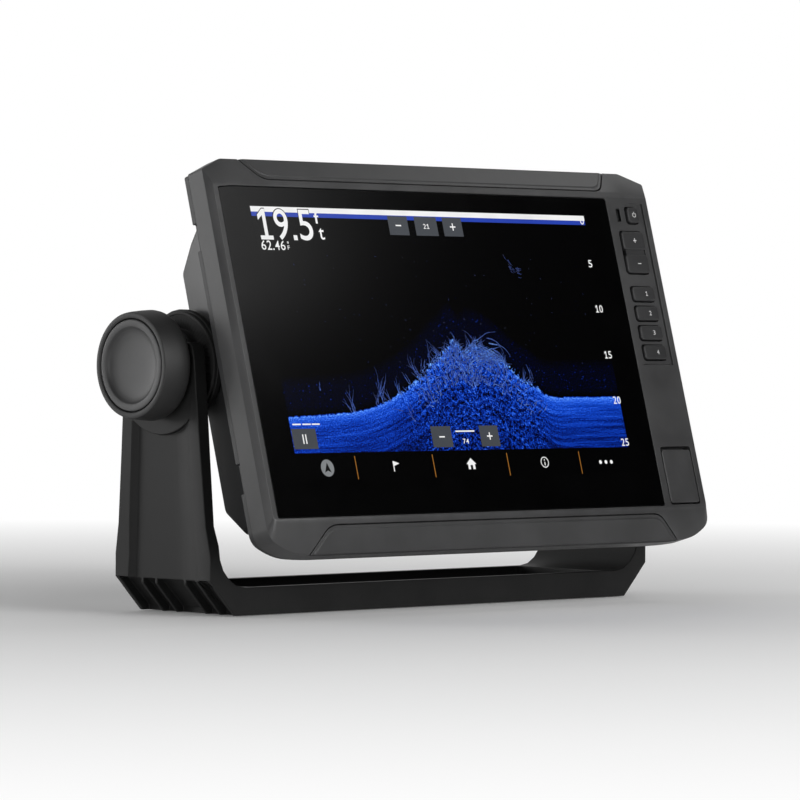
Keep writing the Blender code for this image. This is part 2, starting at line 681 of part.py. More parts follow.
def main_board_shape():
    board = slab(rectangle(-0.1000, 0.0920, -0.0600, 0.0500), 0.0300, 0.0316)
    chips = [(-0.020, 0.002, -0.012, 0.012), (0.012, 0.026, -0.002, 0.012), (0.012, 0.026, -0.022, -0.008),
             (0.050, 0.062, -0.045, -0.030), (-0.070, -0.058, 0.010, 0.022)]
    return join(board, *[slab(rectangle(*chip), 0.0312, 0.0332) for chip in chips])


def sonar_shield_shape():
    """A pressed metal can, open towards the main board."""
    can = slab(rectangle(-0.0900, -0.0260, -0.0420, 0.0300, radius=0.002), 0.0200, 0.0296)
    hollow = slab(rectangle(-0.0894, -0.0266, -0.0414, 0.0294, radius=0.002), 0.0206, 0.05)
    return cut(can, hollow)


def sonar_board_shape():
    board = slab(rectangle(-0.0885, -0.0275, -0.0405, 0.0285), 0.0232, 0.0248)
    coils = [slab(circle(0.0055, (x, -0.025), 12), 0.0244, 0.0285) for x in (-0.074, -0.055)]
    coils.append(slab(rectangle(-0.048, -0.034, 0.002, 0.018), 0.0244, 0.0272))
    return join(board, *coils)


def gps_antenna_shape():
    patch = slab(rectangle(0.0580, 0.0830, 0.0160, 0.0410, radius=0.001), 0.0319, 0.0360)
    return cut(patch, slab(circle(0.0010, (0.0700, 0.0285), 10), 0.0340, 0.05))


def beeper_shape():
    body = slab(circle(0.0060, (0.0600, -0.0300), 24), 0.0245, 0.0297)
    return cut(body, slab(circle(0.0010, (0.0600, -0.0300), 10), 0.02, 0.0262))


# ---------------------------------------------------------------- assembly

def main():
    clear_scene()
    head = add_frame("head_frame")
    head.location = (0.0, 0.0, HEAD_HEIGHT)
    head.rotation_euler = (-TILT, 0.0, 0.0)

    shell = finish_material("charcoal_moulding", (0.055, 0.056, 0.058), 0.45)
    bracket_finish = finish_material("bracket_moulding", (0.030, 0.031, 0.032), 0.50)
    rubber = finish_material("black_rubber", (0.015, 0.015, 0.015), 0.75)
    glass = finish_material("screen_glass", (0.005, 0.005, 0.006), 0.05)
    steel = finish_material("stainless_steel", (0.60, 0.60, 0.58), 0.30, 1.0)
    brass = finish_material("brass", (0.70, 0.52, 0.25), 0.35, 1.0)
    board = finish_material("circuit_board", (0.02, 0.12, 0.06), 0.50)
    shield = finish_material("tinned_steel", (0.55, 0.55, 0.56), 0.40, 1.0)
    ceramic = finish_material("ceramic", (0.60, 0.55, 0.42), 0.60)

    add_piece("bail_bracket", bracket_shape(), bracket_finish)

    for side, name in ((-1, "left"), (1, "right")):
        pieces = {"knob": (knob_shape, rubber), "knob_cap": (knob_cap_shape, shell),
                  "knob_stud": (stud_shape, steel), "knob_washer": (knob_washer_shape, rubber),
                  "friction_disc": (friction_disc_shape, rubber), "threaded_insert": (threaded_insert_shape, brass)}
        for piece, (make, material) in pieces.items():
            shape = moved(make() if side == 1 else mirrored(make()), (0.0, *PIVOT))
            add_piece("%s_%s" % (piece, name), shape, material, head)

    add_piece("cradle", cradle_shape(), bracket_finish, head)
    add_piece("release_lever", release_lever_shape(), shell, head)
    add_piece("lever_pin", lever_pin_shape(), steel, head)
    add_piece("lever_spring", lever_spring_shape(), steel, head)
    add_piece("cradle_connector", cradle_connector_shape(), rubber, head)
    for name, x, pins in zip(("power_socket", "transducer_socket", "network_socket_1", "network_socket_2"),
                             SOCKET_PLACES, (4, 8, 5, 5)):
        add_piece(name, socket_shape(x, pins), rubber, head)
    for number, x in enumerate(SOCKET_PLACES, 1):
        add_piece("socket_cap_%d" % number, socket_cap_shape(x), rubber, head)

    add_piece("front_bezel", front_bezel_shape(), shell, head)
    pane = slab(rectangle(*GLASS, radius=0.003), FACE_OUT - 0.0002 - GLASS_THICKNESS, FACE_OUT - 0.0002)
    add_piece("display_glass", pane, glass, head)
    add_piece("top_trim", trim_shape(True), shell, head)
    add_piece("bottom_trim", trim_shape(False), shell, head)
    window = slab(rectangle(*SENSOR, radius=0.0005), 0.0467, FACE_OUT - 0.0001)
    add_piece("light_sensor_window", window, glass, head)
    for name, place in key_places().items():
        shape = rocker_shape() if name == "zoom_rocker" else key_shape(place)
        add_piece(name, shape, rubber, head)
    add_piece("key_mat", key_mat_shape(), rubber, head)
    add_piece("keypad_board", keypad_board_shape(), board, head)
    add_piece("card_door", card_door_shape(), shell, head)
    pin = prism_x(circle(DOOR_PIN_RADIUS, (-DOOR_PIN_OUT, DOOR_PIN_UP), 16), 0.1053, 0.1266)
    add_piece("card_door_pin", pin, steel, head)
    add_piece("card_door_seal", door_seal_shape(), rubber, head)
    add_piece("card_reader", card_reader_shape(), steel, head)

    add_piece("rear_housing", rear_housing_shape(), bracket_finish, head)
    add_piece("housing_seal", housing_seal_shape(), rubber, head)
    add_piece("unit_connector", unit_connector_shape(), rubber, head)
    add_piece("lcd_panel", lcd_panel_shape(), glass, head)
    add_piece("panel_frame", panel_frame_shape(), shield, head)
    add_piece("main_board", main_board_shape(), board, head)
    add_piece("sonar_board", sonar_board_shape(), board, head)
    add_piece("sonar_shield", sonar_shield_shape(), shield, head)
    add_piece("gps_antenna", gps_antenna_shape(), ceramic, head)
    add_piece("beeper", beeper_shape(), rubber, head)
    for number, spot in enumerate(SCREW_SPOTS, 1):
        add_piece("housing_screw_%d" % number, housing_screw_shape(spot), steel, head)


main()
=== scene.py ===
"""Looks of the fish finder: its mouldings, knobs, keys, lit sonar screen, finishes, lights and camera."""

import math
import random

import bmesh
import bpy
from mathutils import Matrix, Vector


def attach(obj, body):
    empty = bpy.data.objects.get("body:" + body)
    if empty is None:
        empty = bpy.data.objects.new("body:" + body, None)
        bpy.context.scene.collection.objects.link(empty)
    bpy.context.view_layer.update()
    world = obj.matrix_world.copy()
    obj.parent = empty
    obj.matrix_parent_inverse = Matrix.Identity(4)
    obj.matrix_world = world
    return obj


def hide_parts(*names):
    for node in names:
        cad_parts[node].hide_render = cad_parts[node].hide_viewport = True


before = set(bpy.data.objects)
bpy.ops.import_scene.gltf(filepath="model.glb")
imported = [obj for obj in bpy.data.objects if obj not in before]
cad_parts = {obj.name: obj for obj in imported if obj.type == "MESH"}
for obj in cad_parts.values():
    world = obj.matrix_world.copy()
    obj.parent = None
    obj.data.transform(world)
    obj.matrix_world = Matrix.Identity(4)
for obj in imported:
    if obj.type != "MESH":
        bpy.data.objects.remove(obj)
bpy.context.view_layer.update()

# ---------------------------------------------------------------- sizes, in metres

TILT = math.radians(15.5)
HEAD_HEIGHT = 0.0987
HEAD = Matrix.Translation((0.0, 0.0, HEAD_HEIGHT)) @ Matrix.Rotation(-TILT, 4, "X")
PIVOT_HEIGHT = 0.1025
PIVOT_RISE = PIVOT_HEIGHT - HEAD_HEIGHT
PIVOT_IN_HEAD = (0.0, -PIVOT_RISE * math.sin(TILT), PIVOT_RISE * math.cos(TILT))

# The head frame: x to the user's right, "out" in front of its origin, "up" along the screen.
FACE_OUT = 0.0492
BEZEL_BACK = 0.0375
WINDOW = (-0.1130, 0.0890, -0.0612, 0.0616)
GLASS_OUT = 0.0490
PICTURE_OUT = GLASS_OUT + 0.00003
INK = 0.00002
GLASS = (-0.1261, 0.1023, -0.0728, 0.0665)
PICTURE = (-0.1106, 0.0866, -0.0576, 0.0583)

KEY_LEFT, KEY_RIGHT = 0.1077, 0.1218
POWER_KEY = (0.1142, 0.1213, 0.0556, 0.0627)
PLUS_HALF = (KEY_LEFT, KEY_RIGHT, 0.0431, 0.0515)
MINUS_HALF = (KEY_LEFT, KEY_RIGHT, 0.0325, 0.0409)
NUMBER_KEY_HEIGHT = 0.0064
NUMBER_KEY_TOPS = [0.0261 - 0.0089 * row for row in range(4)]
KEY_TOP_OUT = 0.0500
SENSOR = (0.1083, 0.1103, 0.0564, 0.0620)
DOOR_POCKET = (0.1063, 0.1256, -0.0726, -0.0465)

LATCH_X = 0.024
BASE_TOP = 0.0145
ARM_SHOULDER = 0.099
ARM_FOOT_OUTER = 0.1297
HOUSING_SCREWS = [(x, up) for x in (-0.100, 0.0, 0.100) for up in (0.0746, -0.0812)]
BASE_SCREWS_X = (-0.090, -0.045, 0.045, 0.090)
KNOB_OUTER = 0.1473
KNOB_INNER = 0.1336
BOSS_RADIUS = 0.0286
BASE_DEPTH = 0.0598
CHEEK_OUTER = 0.1200
DISC_FACE = 0.1214

random.seed(7)


# ---------------------------------------------------------------- mesh building

def circle(radius, centre=(0.0, 0.0), segments=64):
    return [(centre[0] + radius * math.cos(math.tau * i / segments),
             centre[1] + radius * math.sin(math.tau * i / segments)) for i in range(segments)]


def rectangle(left, right, bottom, top, grow=0.0, radius=0.0, steps=5):
    """A rectangle with round corners, grown on every side; it starts at its right side's upper corner."""
    left, right, bottom, top = left - grow, right + grow, bottom - grow, top + grow
    if radius <= 0.0:
        return [(right, top), (left, top), (left, bottom), (right, bottom)]
    corners = ((right - radius, top - radius, 0), (left + radius, top - radius, 1),
               (left + radius, bottom + radius, 2), (right - radius, bottom + radius, 3))
    points = []
    for centre_x, centre_y, quarter in corners:
        for step in range(steps + 1):
            angle = math.radians(90) * (quarter + step / steps)
            points.append((centre_x + radius * math.cos(angle), centre_y + radius * math.sin(angle)))
    return points


def loft(rings, closed_ends=True):
    """A skin through rings of points, each ring with the same number of points."""
    shape = bmesh.new()
    loops = [[shape.verts.new(point) for point in ring] for ring in rings]
    count = len(loops[0])
    for near, far in zip(loops, loops[1:]):
        for i in range(count):
            j = (i + 1) % count
            shape.faces.new((near[i], near[j], far[j], far[i]))
    if closed_ends:
        shape.faces.new(loops[0][::-1])
        shape.faces.new(loops[-1])
    bmesh.ops.recalc_face_normals(shape, faces=shape.faces)
    return shape


def slab(outline, out_low, out_high):
    """An outline of (x, up) points in the head frame, between two distances in front of its origin."""
    return loft([[(x, -out, up) for x, up in outline] for out in (out_low, out_high)])


def bar(outline, low, high):
    """An outline of (y, z) points, from side to side."""
    return loft([[(x, y, z) for y, z in outline] for x in (low, high)])


def post(outline, low, high):
    """An outline of (x, y) points, upright."""
    return loft([[(x, y, z) for x, y in outline] for z in (low, high)])


def turned(profile, segments=96):
    """A ring or disc turned about the X axis from (radius, x) points; radius 0 closes onto the axis."""
    shape = bmesh.new()
    loops = []
    for radius, x in profile:
        if radius == 0.0:
            loops.append([shape.verts.new((x, 0.0, 0.0))] * segments)
        else:
            loops.append([shape.verts.new((x, y, z)) for y, z in circle(radius, segments=segments)])
    pairs = list(zip(loops, loops[1:]))
    if profile[0][0] > 0.0:
        pairs.append((loops[-1], loops[0]))
    for near, far in pairs:
        for i in range(segments):
            j = (i + 1) % segments
            corners = []
            for corner in (near[i], near[j], far[j], far[i]):
                if corner not in corners:
                    corners.append(corner)
            shape.faces.new(corners)
    bmesh.ops.recalc_face_normals(shape, faces=shape.faces)
    return shape


def merged(*shapes):
    """Several shapes as one mesh, left as they are where they touch."""
    whole = bmesh.new()
    for shape in shapes:
        mesh = bpy.data.meshes.new("part")
        shape.to_mesh(mesh)
        shape.free()
        whole.from_mesh(mesh)
        bpy.data.meshes.remove(mesh)
    return whole


def combine(shape, tools, operation):
    """The exact boolean of a shape with each tool in turn."""
    helpers = []
    for each in (shape, *tools):
        mesh = bpy.data.meshes.new("helper")
        each.to_mesh(mesh)
        each.free()
        helper = bpy.data.objects.new("helper", mesh)
        bpy.context.scene.collection.objects.link(helper)
        helpers.append(helper)
    base = helpers[0]
    for helper in helpers[1:]:
        modifier = base.modifiers.new("boolean", "BOOLEAN")
        modifier.operation = operation
        modifier.object = helper
        modifier.solver = "EXACT"
    result = bmesh.new()
    result.from_object(base, bpy.context.evaluated_depsgraph_get())
    for helper in helpers:
        mesh = helper.data
        bpy.data.objects.remove(helper, do_unlink=True)
        bpy.data.meshes.remove(mesh)
    bmesh.ops.remove_doubles(result, verts=result.verts, dist=2e-6)
    bmesh.ops.dissolve_limit(result, angle_limit=math.radians(0.3), verts=result.verts, edges=result.edges)
    return result


def cut(shape, *tools):
    return combine(shape, tools, "DIFFERENCE")


def mirrored(shape):
    """The same shape on the other side of the middle plane."""
    bmesh.ops.scale(shape, verts=shape.verts, vec=(-1.0, 1.0, 1.0))
    bmesh.ops.reverse_faces(shape, faces=shape.faces)
    return shape


def round_edges(piece, width, segments=2, angle=28):
    """Rounds every edge sharper than the angle, and keeps the flats flat in the shading."""
    bevel = piece.modifiers.new("round_edges", "BEVEL")
    bevel.width = width
    bevel.segments = segments
    bevel.limit_method = "ANGLE"
    bevel.angle_limit = math.radians(angle)
    bevel.use_clamp_overlap = False
    bevel.miter_outer = "MITER_ARC"
    bevel.harden_normals = True


def add_piece(name, shape, finish, body, stands_for=(), in_head=True, edge=0.0, segments=2):
    """Makes a shape into a piece of the model, on its body and with its finish."""
    if in_head:
        bmesh.ops.transform(shape, matrix=HEAD, verts=shape.verts)
    mesh = bpy.data.meshes.new(name)
    shape.to_mesh(mesh)
    shape.free()
    mesh.materials.append(finish)
    mesh.shade_smooth()
    mesh.set_sharp_from_angle(angle=math.radians(40))
    piece = bpy.data.objects.new(name, mesh)
    bpy.context.scene.collection.objects.link(piece)
    if edge > 0.0:
        round_edges(piece, edge, segments)
    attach(piece, body)
    if stands_for:
        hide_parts(*stands_for)
    return piece


def refined(node_name, finish, body, edge):
    """A part of the frame again, with its edges rounded the way a mould rounds them."""
    shape = bmesh.new()
    shape.from_mesh(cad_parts[node_name].data)
    bmesh.ops.remove_doubles(shape, verts=shape.verts, dist=2e-6)
    bmesh.ops.dissolve_limit(shape, angle_limit=math.radians(0.5), verts=shape.verts, edges=shape.edges)
    return add_piece(node_name + "_moulded", shape, finish, body, (node_name,), False, edge)


# ---------------------------------------------------------------- shader groups

def new_group(name, inputs, outputs):
    """An empty shader group with its sockets; inputs are (name, kind, value), outputs (name, kind)."""
    group = bpy.data.node_groups.new(name, "ShaderNodeTree")
    for label, kind, value in inputs:
        socket = group.interface.new_socket(name=label, in_out="INPUT", socket_type=kind)
        if value is not None:
            socket.default_value = value
    for label, kind in outputs:
        group.interface.new_socket(name=label, in_out="OUTPUT", socket_type=kind)
    return group, group.nodes.new("NodeGroupInput"), group.nodes.new("NodeGroupOutput")


def feed(tree, made, **inputs):
    """Sets each named input of a node to a value, or links it to a socket; i0, i1 and on are by number."""
    for key, value in inputs.items():
        slot = made.inputs[int(key[1:]) if key[0] == "i" and key[1:].isdigit() else key.replace("_", " ")]
        if isinstance(value, bpy.types.NodeSocket):
            tree.links.new(value, slot)
        else:
            slot.default_value = value


def node(tree, kind, settings=None, **inputs):
    """A node with its settings, and with each named input set to a value or linked to a socket."""
    made = tree.nodes.new(kind)
    for key, value in (settings or {}).items():
        setattr(made, key, value)
    feed(tree, made, **inputs)
    return made


def math_node(tree, operation, first, second):
    return node(tree, "ShaderNodeMath", {"operation": operation}, i0=first, i1=second).outputs[0]


def times(tree, first, second):
    return math_node(tree, "MULTIPLY", first, second)


def plus(tree, first, second):
    return math_node(tree, "ADD", first, second)


def minus(tree, first, second):
    return math_node(tree, "SUBTRACT", first, second)


def remap(tree, value, low, high, to_low=0.0, to_high=1.0):
    made = node(tree, "ShaderNodeMapRange", {"clamp": True}, i0=value, i1=low, i2=high, i3=to_low, i4=to_high)
    return made.outputs[0]


def mix_colour(tree, share, first, second, blend="MIX"):
    settings = {"data_type": "RGBA", "blend_type": blend}
    return node(tree, "ShaderNodeMix", settings, i0=share, i6=first, i7=second).outputs[2]


def moulded_grain_group():
    """Spark-eroded mould texture: a fine pebbled height, and slow changes of colour and gloss."""
    inputs = [("Vector", "NodeSocketVector", None), ("Grain size", "NodeSocketFloat", 0.0004)]
    outputs = [("Height", "NodeSocketFloat"), ("Mottle", "NodeSocketFloat"), ("Speck", "NodeSocketFloat")]
    group, start, end = new_group("moulded_grain", inputs, outputs)
    scale = math_node(group, "DIVIDE", 1.0, start.outputs["Grain size"])
    place = start.outputs["Vector"]
    fine = node(group, "ShaderNodeTexNoise", Vector=place, Scale=scale, Detail=3.0, Roughness=0.6)
    cells = node(group, "ShaderNodeTexVoronoi", {"feature": "SMOOTH_F1"}, Vector=place,
                 Scale=times(group, scale, 0.8))
    pebble = plus(group, times(group, fine.outputs["Fac"], 0.6),
                       times(group, cells.outputs["Distance"], 0.4))
    slow = node(group, "ShaderNodeTexNoise", Vector=place, Scale=38.0, Detail=4.0, Roughness=0.55)
    speck = node(group, "ShaderNodeTexNoise", Vector=place, Scale=900.0, Detail=1.0)
    group.links.new(pebble, end.inputs["Height"])
    group.links.new(remap(group, slow.outputs["Fac"], 0.3, 0.7), end.inputs["Mottle"])
    group.links.new(remap(group, speck.outputs["Fac"], 0.62, 0.72), end.inputs["Speck"])
    return group


def handling_wear_group():
    """Where fingers and deck work polish a moulding: its proud edges, broken up by patches."""
    inputs = [("Vector", "NodeSocketVector", None), ("Edge", "NodeSocketFloat", 0.5),
              ("Reach", "NodeSocketFloat", 0.5)]
    group, start, end = new_group("handling_wear", inputs, [("Mask", "NodeSocketFloat")])
    patches = node(group, "ShaderNodeTexNoise", Vector=start.outputs["Vector"], Scale=120.0, Detail=5.0,
                   Roughness=0.65)
    low = minus(group, 0.60, times(group, start.outputs["Reach"], 0.08))
    edge = remap(group, start.outputs["Edge"], low, 0.66)
    broken = remap(group, patches.outputs["Fac"], 0.35, 0.65)
    group.links.new(times(group, edge, broken), end.inputs["Mask"])
    return group


GRAIN = moulded_grain_group()
WEAR = handling_wear_group()


def grain_at(tree, place, size):
    return node(tree, "ShaderNodeGroup", {"node_tree": GRAIN}, Vector=place, Grain_size=size)


def relief(tree, strength, distance, height):
    made = node(tree, "ShaderNodeBump", Strength=strength, Distance=distance, Height=height)
    return made.outputs["Normal"]


def new_material(name):
    material = bpy.data.materials.new(name)
    material.use_nodes = True
    tree = material.node_tree
    shader = tree.nodes["Principled BSDF"]
    place = node(tree, "ShaderNodeTexCoord").outputs["Object"]
    return material, tree, shader, place


def moulded_plastic(name, colour, roughness, grain_size, grain_height, wear, spread=0.25):
    """A moulded plastic or rubber with mould grain, gloss that varies, and polished edges."""
    material, tree, shader, place = new_material(name)
    grain = grain_at(tree, place, grain_size)
    edge = node(tree, "ShaderNodeNewGeometry").outputs["Pointiness"]
    wear_node = node(tree, "ShaderNodeGroup", {"node_tree": WEAR}, Vector=place, Edge=edge, Reach=wear)
    worn = wear_node.outputs["Mask"]
    dark = (*[channel * (1.0 - spread) for channel in colour], 1.0)
    light = (*[channel * (1.0 + spread) for channel in colour], 1.0)
    base = mix_colour(tree, grain.outputs["Mottle"], dark, light)
    worn_colour = (*[min(channel * 2.2 + 0.01, 1.0) for channel in colour], 1.0)
    base = mix_colour(tree, times(tree, worn, 0.55 * wear), base, worn_colour)
    feed(tree, shader, Base_Color=base)
    gloss = remap(tree, grain.outputs["Mottle"], 0.0, 1.0, roughness - 0.035, roughness + 0.035)
    gloss = minus(tree, gloss, times(tree, worn, 0.12 * wear))
    feed(tree, shader, Roughness=gloss)
    bump = relief(tree, 0.35, grain_height, grain.outputs["Height"])
    feed(tree, shader, Normal=bump, Specular_IOR_Level=0.5)
    return material


def worked_metal(name, colour, roughness, stretch):
    """Bare metal with fine turning or rolling marks along one axis."""
    material, tree, shader, place = new_material(name)
    mapped = node(tree, "ShaderNodeMapping", Vector=place, Scale=stretch).outputs[0]
    marks = node(tree, "ShaderNodeTexNoise", Vector=mapped, Scale=1.0, Detail=3.0, Roughness=0.5)
    grain = grain_at(tree, place, 0.0008)
    dark = (*[channel * 0.8 for channel in colour], 1.0)
    base = mix_colour(tree, grain.outputs["Mottle"], dark, (*colour, 1.0))
    feed(tree, shader, Base_Color=base, Metallic=1.0)
    gloss = remap(tree, marks.outputs["Fac"], 0.3, 0.7, roughness - 0.08, roughness + 0.10)
    feed(tree, shader, Roughness=gloss)
    bump = relief(tree, 0.25, 0.00002, marks.outputs["Fac"])
    feed(tree, shader, Normal=bump)
    return material


def board_laminate():
    """Green solder mask over copper tracks."""
    material, tree, shader, place = new_material("board_laminate")
    tracks = node(tree, "ShaderNodeTexBrick", {"offset": 0.37}, Vector=place, Scale=260.0, Mortar_Size=0.08)
    grain = grain_at(tree, place, 0.0006)
    base = mix_colour(tree, tracks.outputs["Fac"], (0.010, 0.085, 0.035, 1.0), (0.035, 0.19, 0.075, 1.0))
    base = mix_colour(tree, grain.outputs["Speck"], base, (0.45, 0.45, 0.42, 1.0))
    feed(tree, shader, Base_Color=base)
    gloss = remap(tree, grain.outputs["Mottle"], 0.0, 1.0, 0.28, 0.42)
    feed(tree, shader, Roughness=gloss)
    bump = relief(tree, 0.4, 0.00005, tracks.outputs["Fac"])
    feed(tree, shader, Normal=bump)
    return material


def front_glass():
    """Black bonded glass with a faint film of handling on it."""
    material, tree, shader, place = new_material("front_glass")
    film = node(tree, "ShaderNodeTexNoise", Vector=place, Scale=45.0, Detail=5.0, Roughness=0.6)
    base = mix_colour(tree, remap(tree, film.outputs["Fac"], 0.3, 0.7), (0.0003, 0.0003, 0.0004, 1.0),
                      (0.0006, 0.0006, 0.0007, 1.0))
    feed(tree, shader, Base_Color=base)
    gloss = remap(tree, film.outputs["Fac"], 0.3, 0.7, 0.17, 0.21)
    feed(tree, shader, Roughness=gloss, Specular_IOR_Level=0.25)
    return material


def lit(name, colour, strength, body_colour=(0.01, 0.01, 0.01)):
    """A part of the lit picture, in one colour with the panel's faint unevenness."""
    material, tree, shader, place = new_material(name)
    uneven = node(tree, "ShaderNodeTexNoise", Vector=place, Scale=70.0, Detail=2.0)
    dark = (*[channel * 0.88 for channel in colour], 1.0)
    glow = mix_colour(tree, remap(tree, uneven.outputs["Fac"], 0.3, 0.7), dark, (*colour, 1.0))
    feed(tree, shader, Emission_Color=glow, Emission_Strength=strength, Base_Color=(*body_colour, 1.0))
    feed(tree, shader, Roughness=0.25)
    return material


# The sea bed on the screen, as places across and along the picture in the head frame.
SEA_BED = [(-0.1106, -0.0309), (-0.0919, -0.0303), (-0.0744, -0.0292), (-0.0620, -0.0272), (-0.0500, -0.0234),
           (-0.0409, -0.0194), (-0.0313, -0.0140), (-0.0207, -0.0065), (-0.0145, -0.0030), (-0.0077, 0.0012),
           (-0.0030, -0.0032), (0.0029, -0.0008), (0.0121, -0.0034), (0.0207, -0.0088), (0.0277, -0.0145),
           (0.0366, -0.0190), (0.0427, -0.0229), (0.0601, -0.0236), (0.0866, -0.0237)]
SCAN_BOTTOM = -0.0463
BRUSH = [(-0.1106, 0.05), (-0.0620, 0.12), (-0.0400, 0.55), (-0.0250, 1.0), (0.0250, 1.0), (0.0380, 0.45),
         (0.0450, 0.06), (0.0866, 0.03)]


def float_curve(tree, value, points, low, high):
    """A smooth curve through points given as places across the picture, with values from low to high."""
    left, right = PICTURE[0], PICTURE[1]
    made = node(tree, "ShaderNodeFloatCurve", Value=value)
    curve = made.mapping.curves[0]
    spots = [((x - left) / (right - left), (y - low) / (high - low)) for x, y in points]
    curve.points[0].location = spots[0]
    curve.points[1].location = spots[-1]
    for spot in spots[1:-1]:
        curve.points.new(*spot)
    made.mapping.update()
    return made.outputs[0]


def sonar_scan():
    """The sonar picture: a sea bed with brush on it, speckled echoes, streaks below and haze above."""
    material, tree, shader, place = new_material("sonar_scan")
    sheet_place = node(tree, "ShaderNodeUVMap").outputs[0]
    across, along = node(tree, "ShaderNodeSeparateXYZ", Vector=sheet_place).outputs[:2]
    width, height = (PICTURE[1] - PICTURE[0]) * 1000, (PICTURE[3] - PICTURE[2]) * 1000
    x = times(tree, across, width)
    y = times(tree, along, height)
    flat = node(tree, "ShaderNodeCombineXYZ", X=x, Y=y, Z=0.0).outputs[0]
    bed = float_curve(tree, across, SEA_BED, PICTURE[2], PICTURE[3])
    brush = float_curve(tree, across, BRUSH, 0.0, 1.0)
    depth = times(tree, minus(tree, bed, along), height)

    ragged = node(tree, "ShaderNodeTexNoise", Vector=flat, Scale=0.55, Detail=6.0, Roughness=0.72)
    rough = times(tree, remap(tree, ragged.outputs["Fac"], 0.25, 0.75, -5.5, 4.0), brush)
    wobble = remap(tree, ragged.outputs["Fac"], 0.3, 0.7, -0.35, 0.35)
    below = plus(tree, plus(tree, depth, rough), wobble)
    solid = remap(tree, below, -0.25, 0.35)

    fine = node(tree, "ShaderNodeTexNoise", Vector=flat, Scale=1.7, Detail=3.0, Roughness=0.75).outputs["Fac"]
    speckle = remap(tree, fine, 0.32, 0.68, -0.34, 0.34)
    layer_place = node(tree, "ShaderNodeCombineXYZ", X=times(tree, x, 0.035), Y=depth, Z=0.0)
    layers = node(tree, "ShaderNodeTexNoise", Vector=layer_place.outputs[0], Scale=0.62, Detail=3.0,
                  Roughness=0.6)
    streak = remap(tree, layers.outputs["Fac"], 0.3, 0.7, -0.30, 0.30)
    fade = math_node(tree, "POWER", 2.718, math_node(tree, "DIVIDE", depth, -11.0))
    body = plus(tree, 0.26, times(tree, fade, 0.36))
    crest = math_node(tree, "POWER", 2.718, math_node(tree, "DIVIDE", depth, -1.6))
    body = plus(tree, body, times(tree, math_node(tree, "MINIMUM", crest, 1.0), 0.30))
    deep = remap(tree, depth, 1.0, 6.0)
    body = plus(tree, body, times(tree, streak, times(tree, deep, 0.62)))

    swirl = node(tree, "ShaderNodeTexNoise", Vector=flat, Scale=0.16, Detail=2.0).outputs["Color"]
    swirl = node(tree, "ShaderNodeVectorMath", {"operation": "SCALE"}, Vector=swirl, Scale=9.0).outputs[0]
    bent = node(tree, "ShaderNodeVectorMath", {"operation": "ADD"}, i0=flat, i1=swirl).outputs[0]
    cells = node(tree, "ShaderNodeTexVoronoi", {"feature": "DISTANCE_TO_EDGE"}, Vector=bent, Scale=0.38)
    twigs = times(tree, remap(tree, cells.outputs["Distance"], 0.10, 0.0), brush)
    hollows = times(tree, remap(tree, ragged.outputs["Fac"], 0.52, 0.34), brush)
    body = plus(tree, body, times(tree, twigs, 0.34))
    body = minus(tree, body, times(tree, hollows, 0.60))
    body = plus(tree, body, speckle)
    body = times(tree, body, solid)

    grain = node(tree, "ShaderNodeTexNoise", Vector=flat, Scale=2.4, Detail=2.0, Roughness=0.8)
    grains = grain.outputs["Fac"]
    haze_band = times(tree, remap(tree, depth, -17.0, -12.0), remap(tree, depth, -0.5, -4.0))
    specks = node(tree, "ShaderNodeTexVoronoi", {"feature": "F1"}, Vector=flat, Scale=1.1, Randomness=1.0)
    speck_size = remap(tree, specks.outputs["Distance"], 0.30, 0.12)
    speck_chance = node(tree, "ShaderNodeSeparateColor", i0=specks.outputs["Color"]).outputs[0]
    spark = times(tree, speck_size, remap(tree, speck_chance, 0.72, 1.0, 0.0, 0.62))
    haze = plus(tree, remap(tree, grains, 0.50, 0.74, 0.0, 0.22), spark)
    haze = times(tree, haze, haze_band)
    drift = remap(tree, grains, 0.735, 0.80, 0.0, 0.5)
    above = math_node(tree, "MAXIMUM", haze, drift)
    echo = math_node(tree, "MAXIMUM", body, times(tree, above, remap(tree, solid, 1.0, 0.0)))
    floor_share = (SCAN_BOTTOM - PICTURE[2]) / (PICTURE[3] - PICTURE[2])
    echo = times(tree, echo, remap(tree, along, floor_share - 0.001, floor_share + 0.001))
    echo = times(tree, echo, remap(tree, along, 0.95, 0.90))

    ramp = node(tree, "ShaderNodeValToRGB", Fac=echo)
    stops = [(0.0, (0.0, 0.0, 0.0)), (0.14, (0.0004, 0.0025, 0.030)), (0.36, (0.001, 0.016, 0.24)),
             (0.62, (0.006, 0.072, 0.68)), (0.84, (0.045, 0.20, 0.93)), (1.0, (0.20, 0.46, 1.0))]
    ramp.color_ramp.elements[0].position = stops[0][0]
    ramp.color_ramp.elements[0].color = (*stops[0][1], 1.0)
    ramp.color_ramp.elements[1].position = stops[-1][0]
    ramp.color_ramp.elements[1].color = (*stops[-1][1], 1.0)
    for position, colour in stops[1:-1]:
        ramp.color_ramp.elements.new(position).color = (*colour, 1.0)
    feed(tree, shader, Emission_Color=ramp.outputs["Color"], Emission_Strength=1.0)
    feed(tree, shader, Base_Color=(0.0004, 0.0004, 0.0005, 1.0), Roughness=0.19, Specular_IOR_Level=0.25)
    return material


def brush_echoes():
    """Blue strands whose brightness is painted on them."""
    material, tree, shader, place = new_material("brush_echoes")
    glow = node(tree, "ShaderNodeAttribute", {"attribute_name": "glow"}).outputs["Color"]
    grain = node(tree, "ShaderNodeTexNoise", Vector=place, Scale=1800.0, Detail=2.0).outputs["Fac"]
    grained = mix_colour(tree, remap(tree, grain, 0.35, 0.6), (0.25, 0.25, 0.3, 1.0), (1.0, 1.0, 1.0, 1.0))
    colour = mix_colour(tree, 1.0, glow, grained, "MULTIPLY")
    feed(tree, shader, Emission_Color=colour, Emission_Strength=1.0, Base_Color=(0.0015, 0.0015, 0.002, 1.0))
    return material


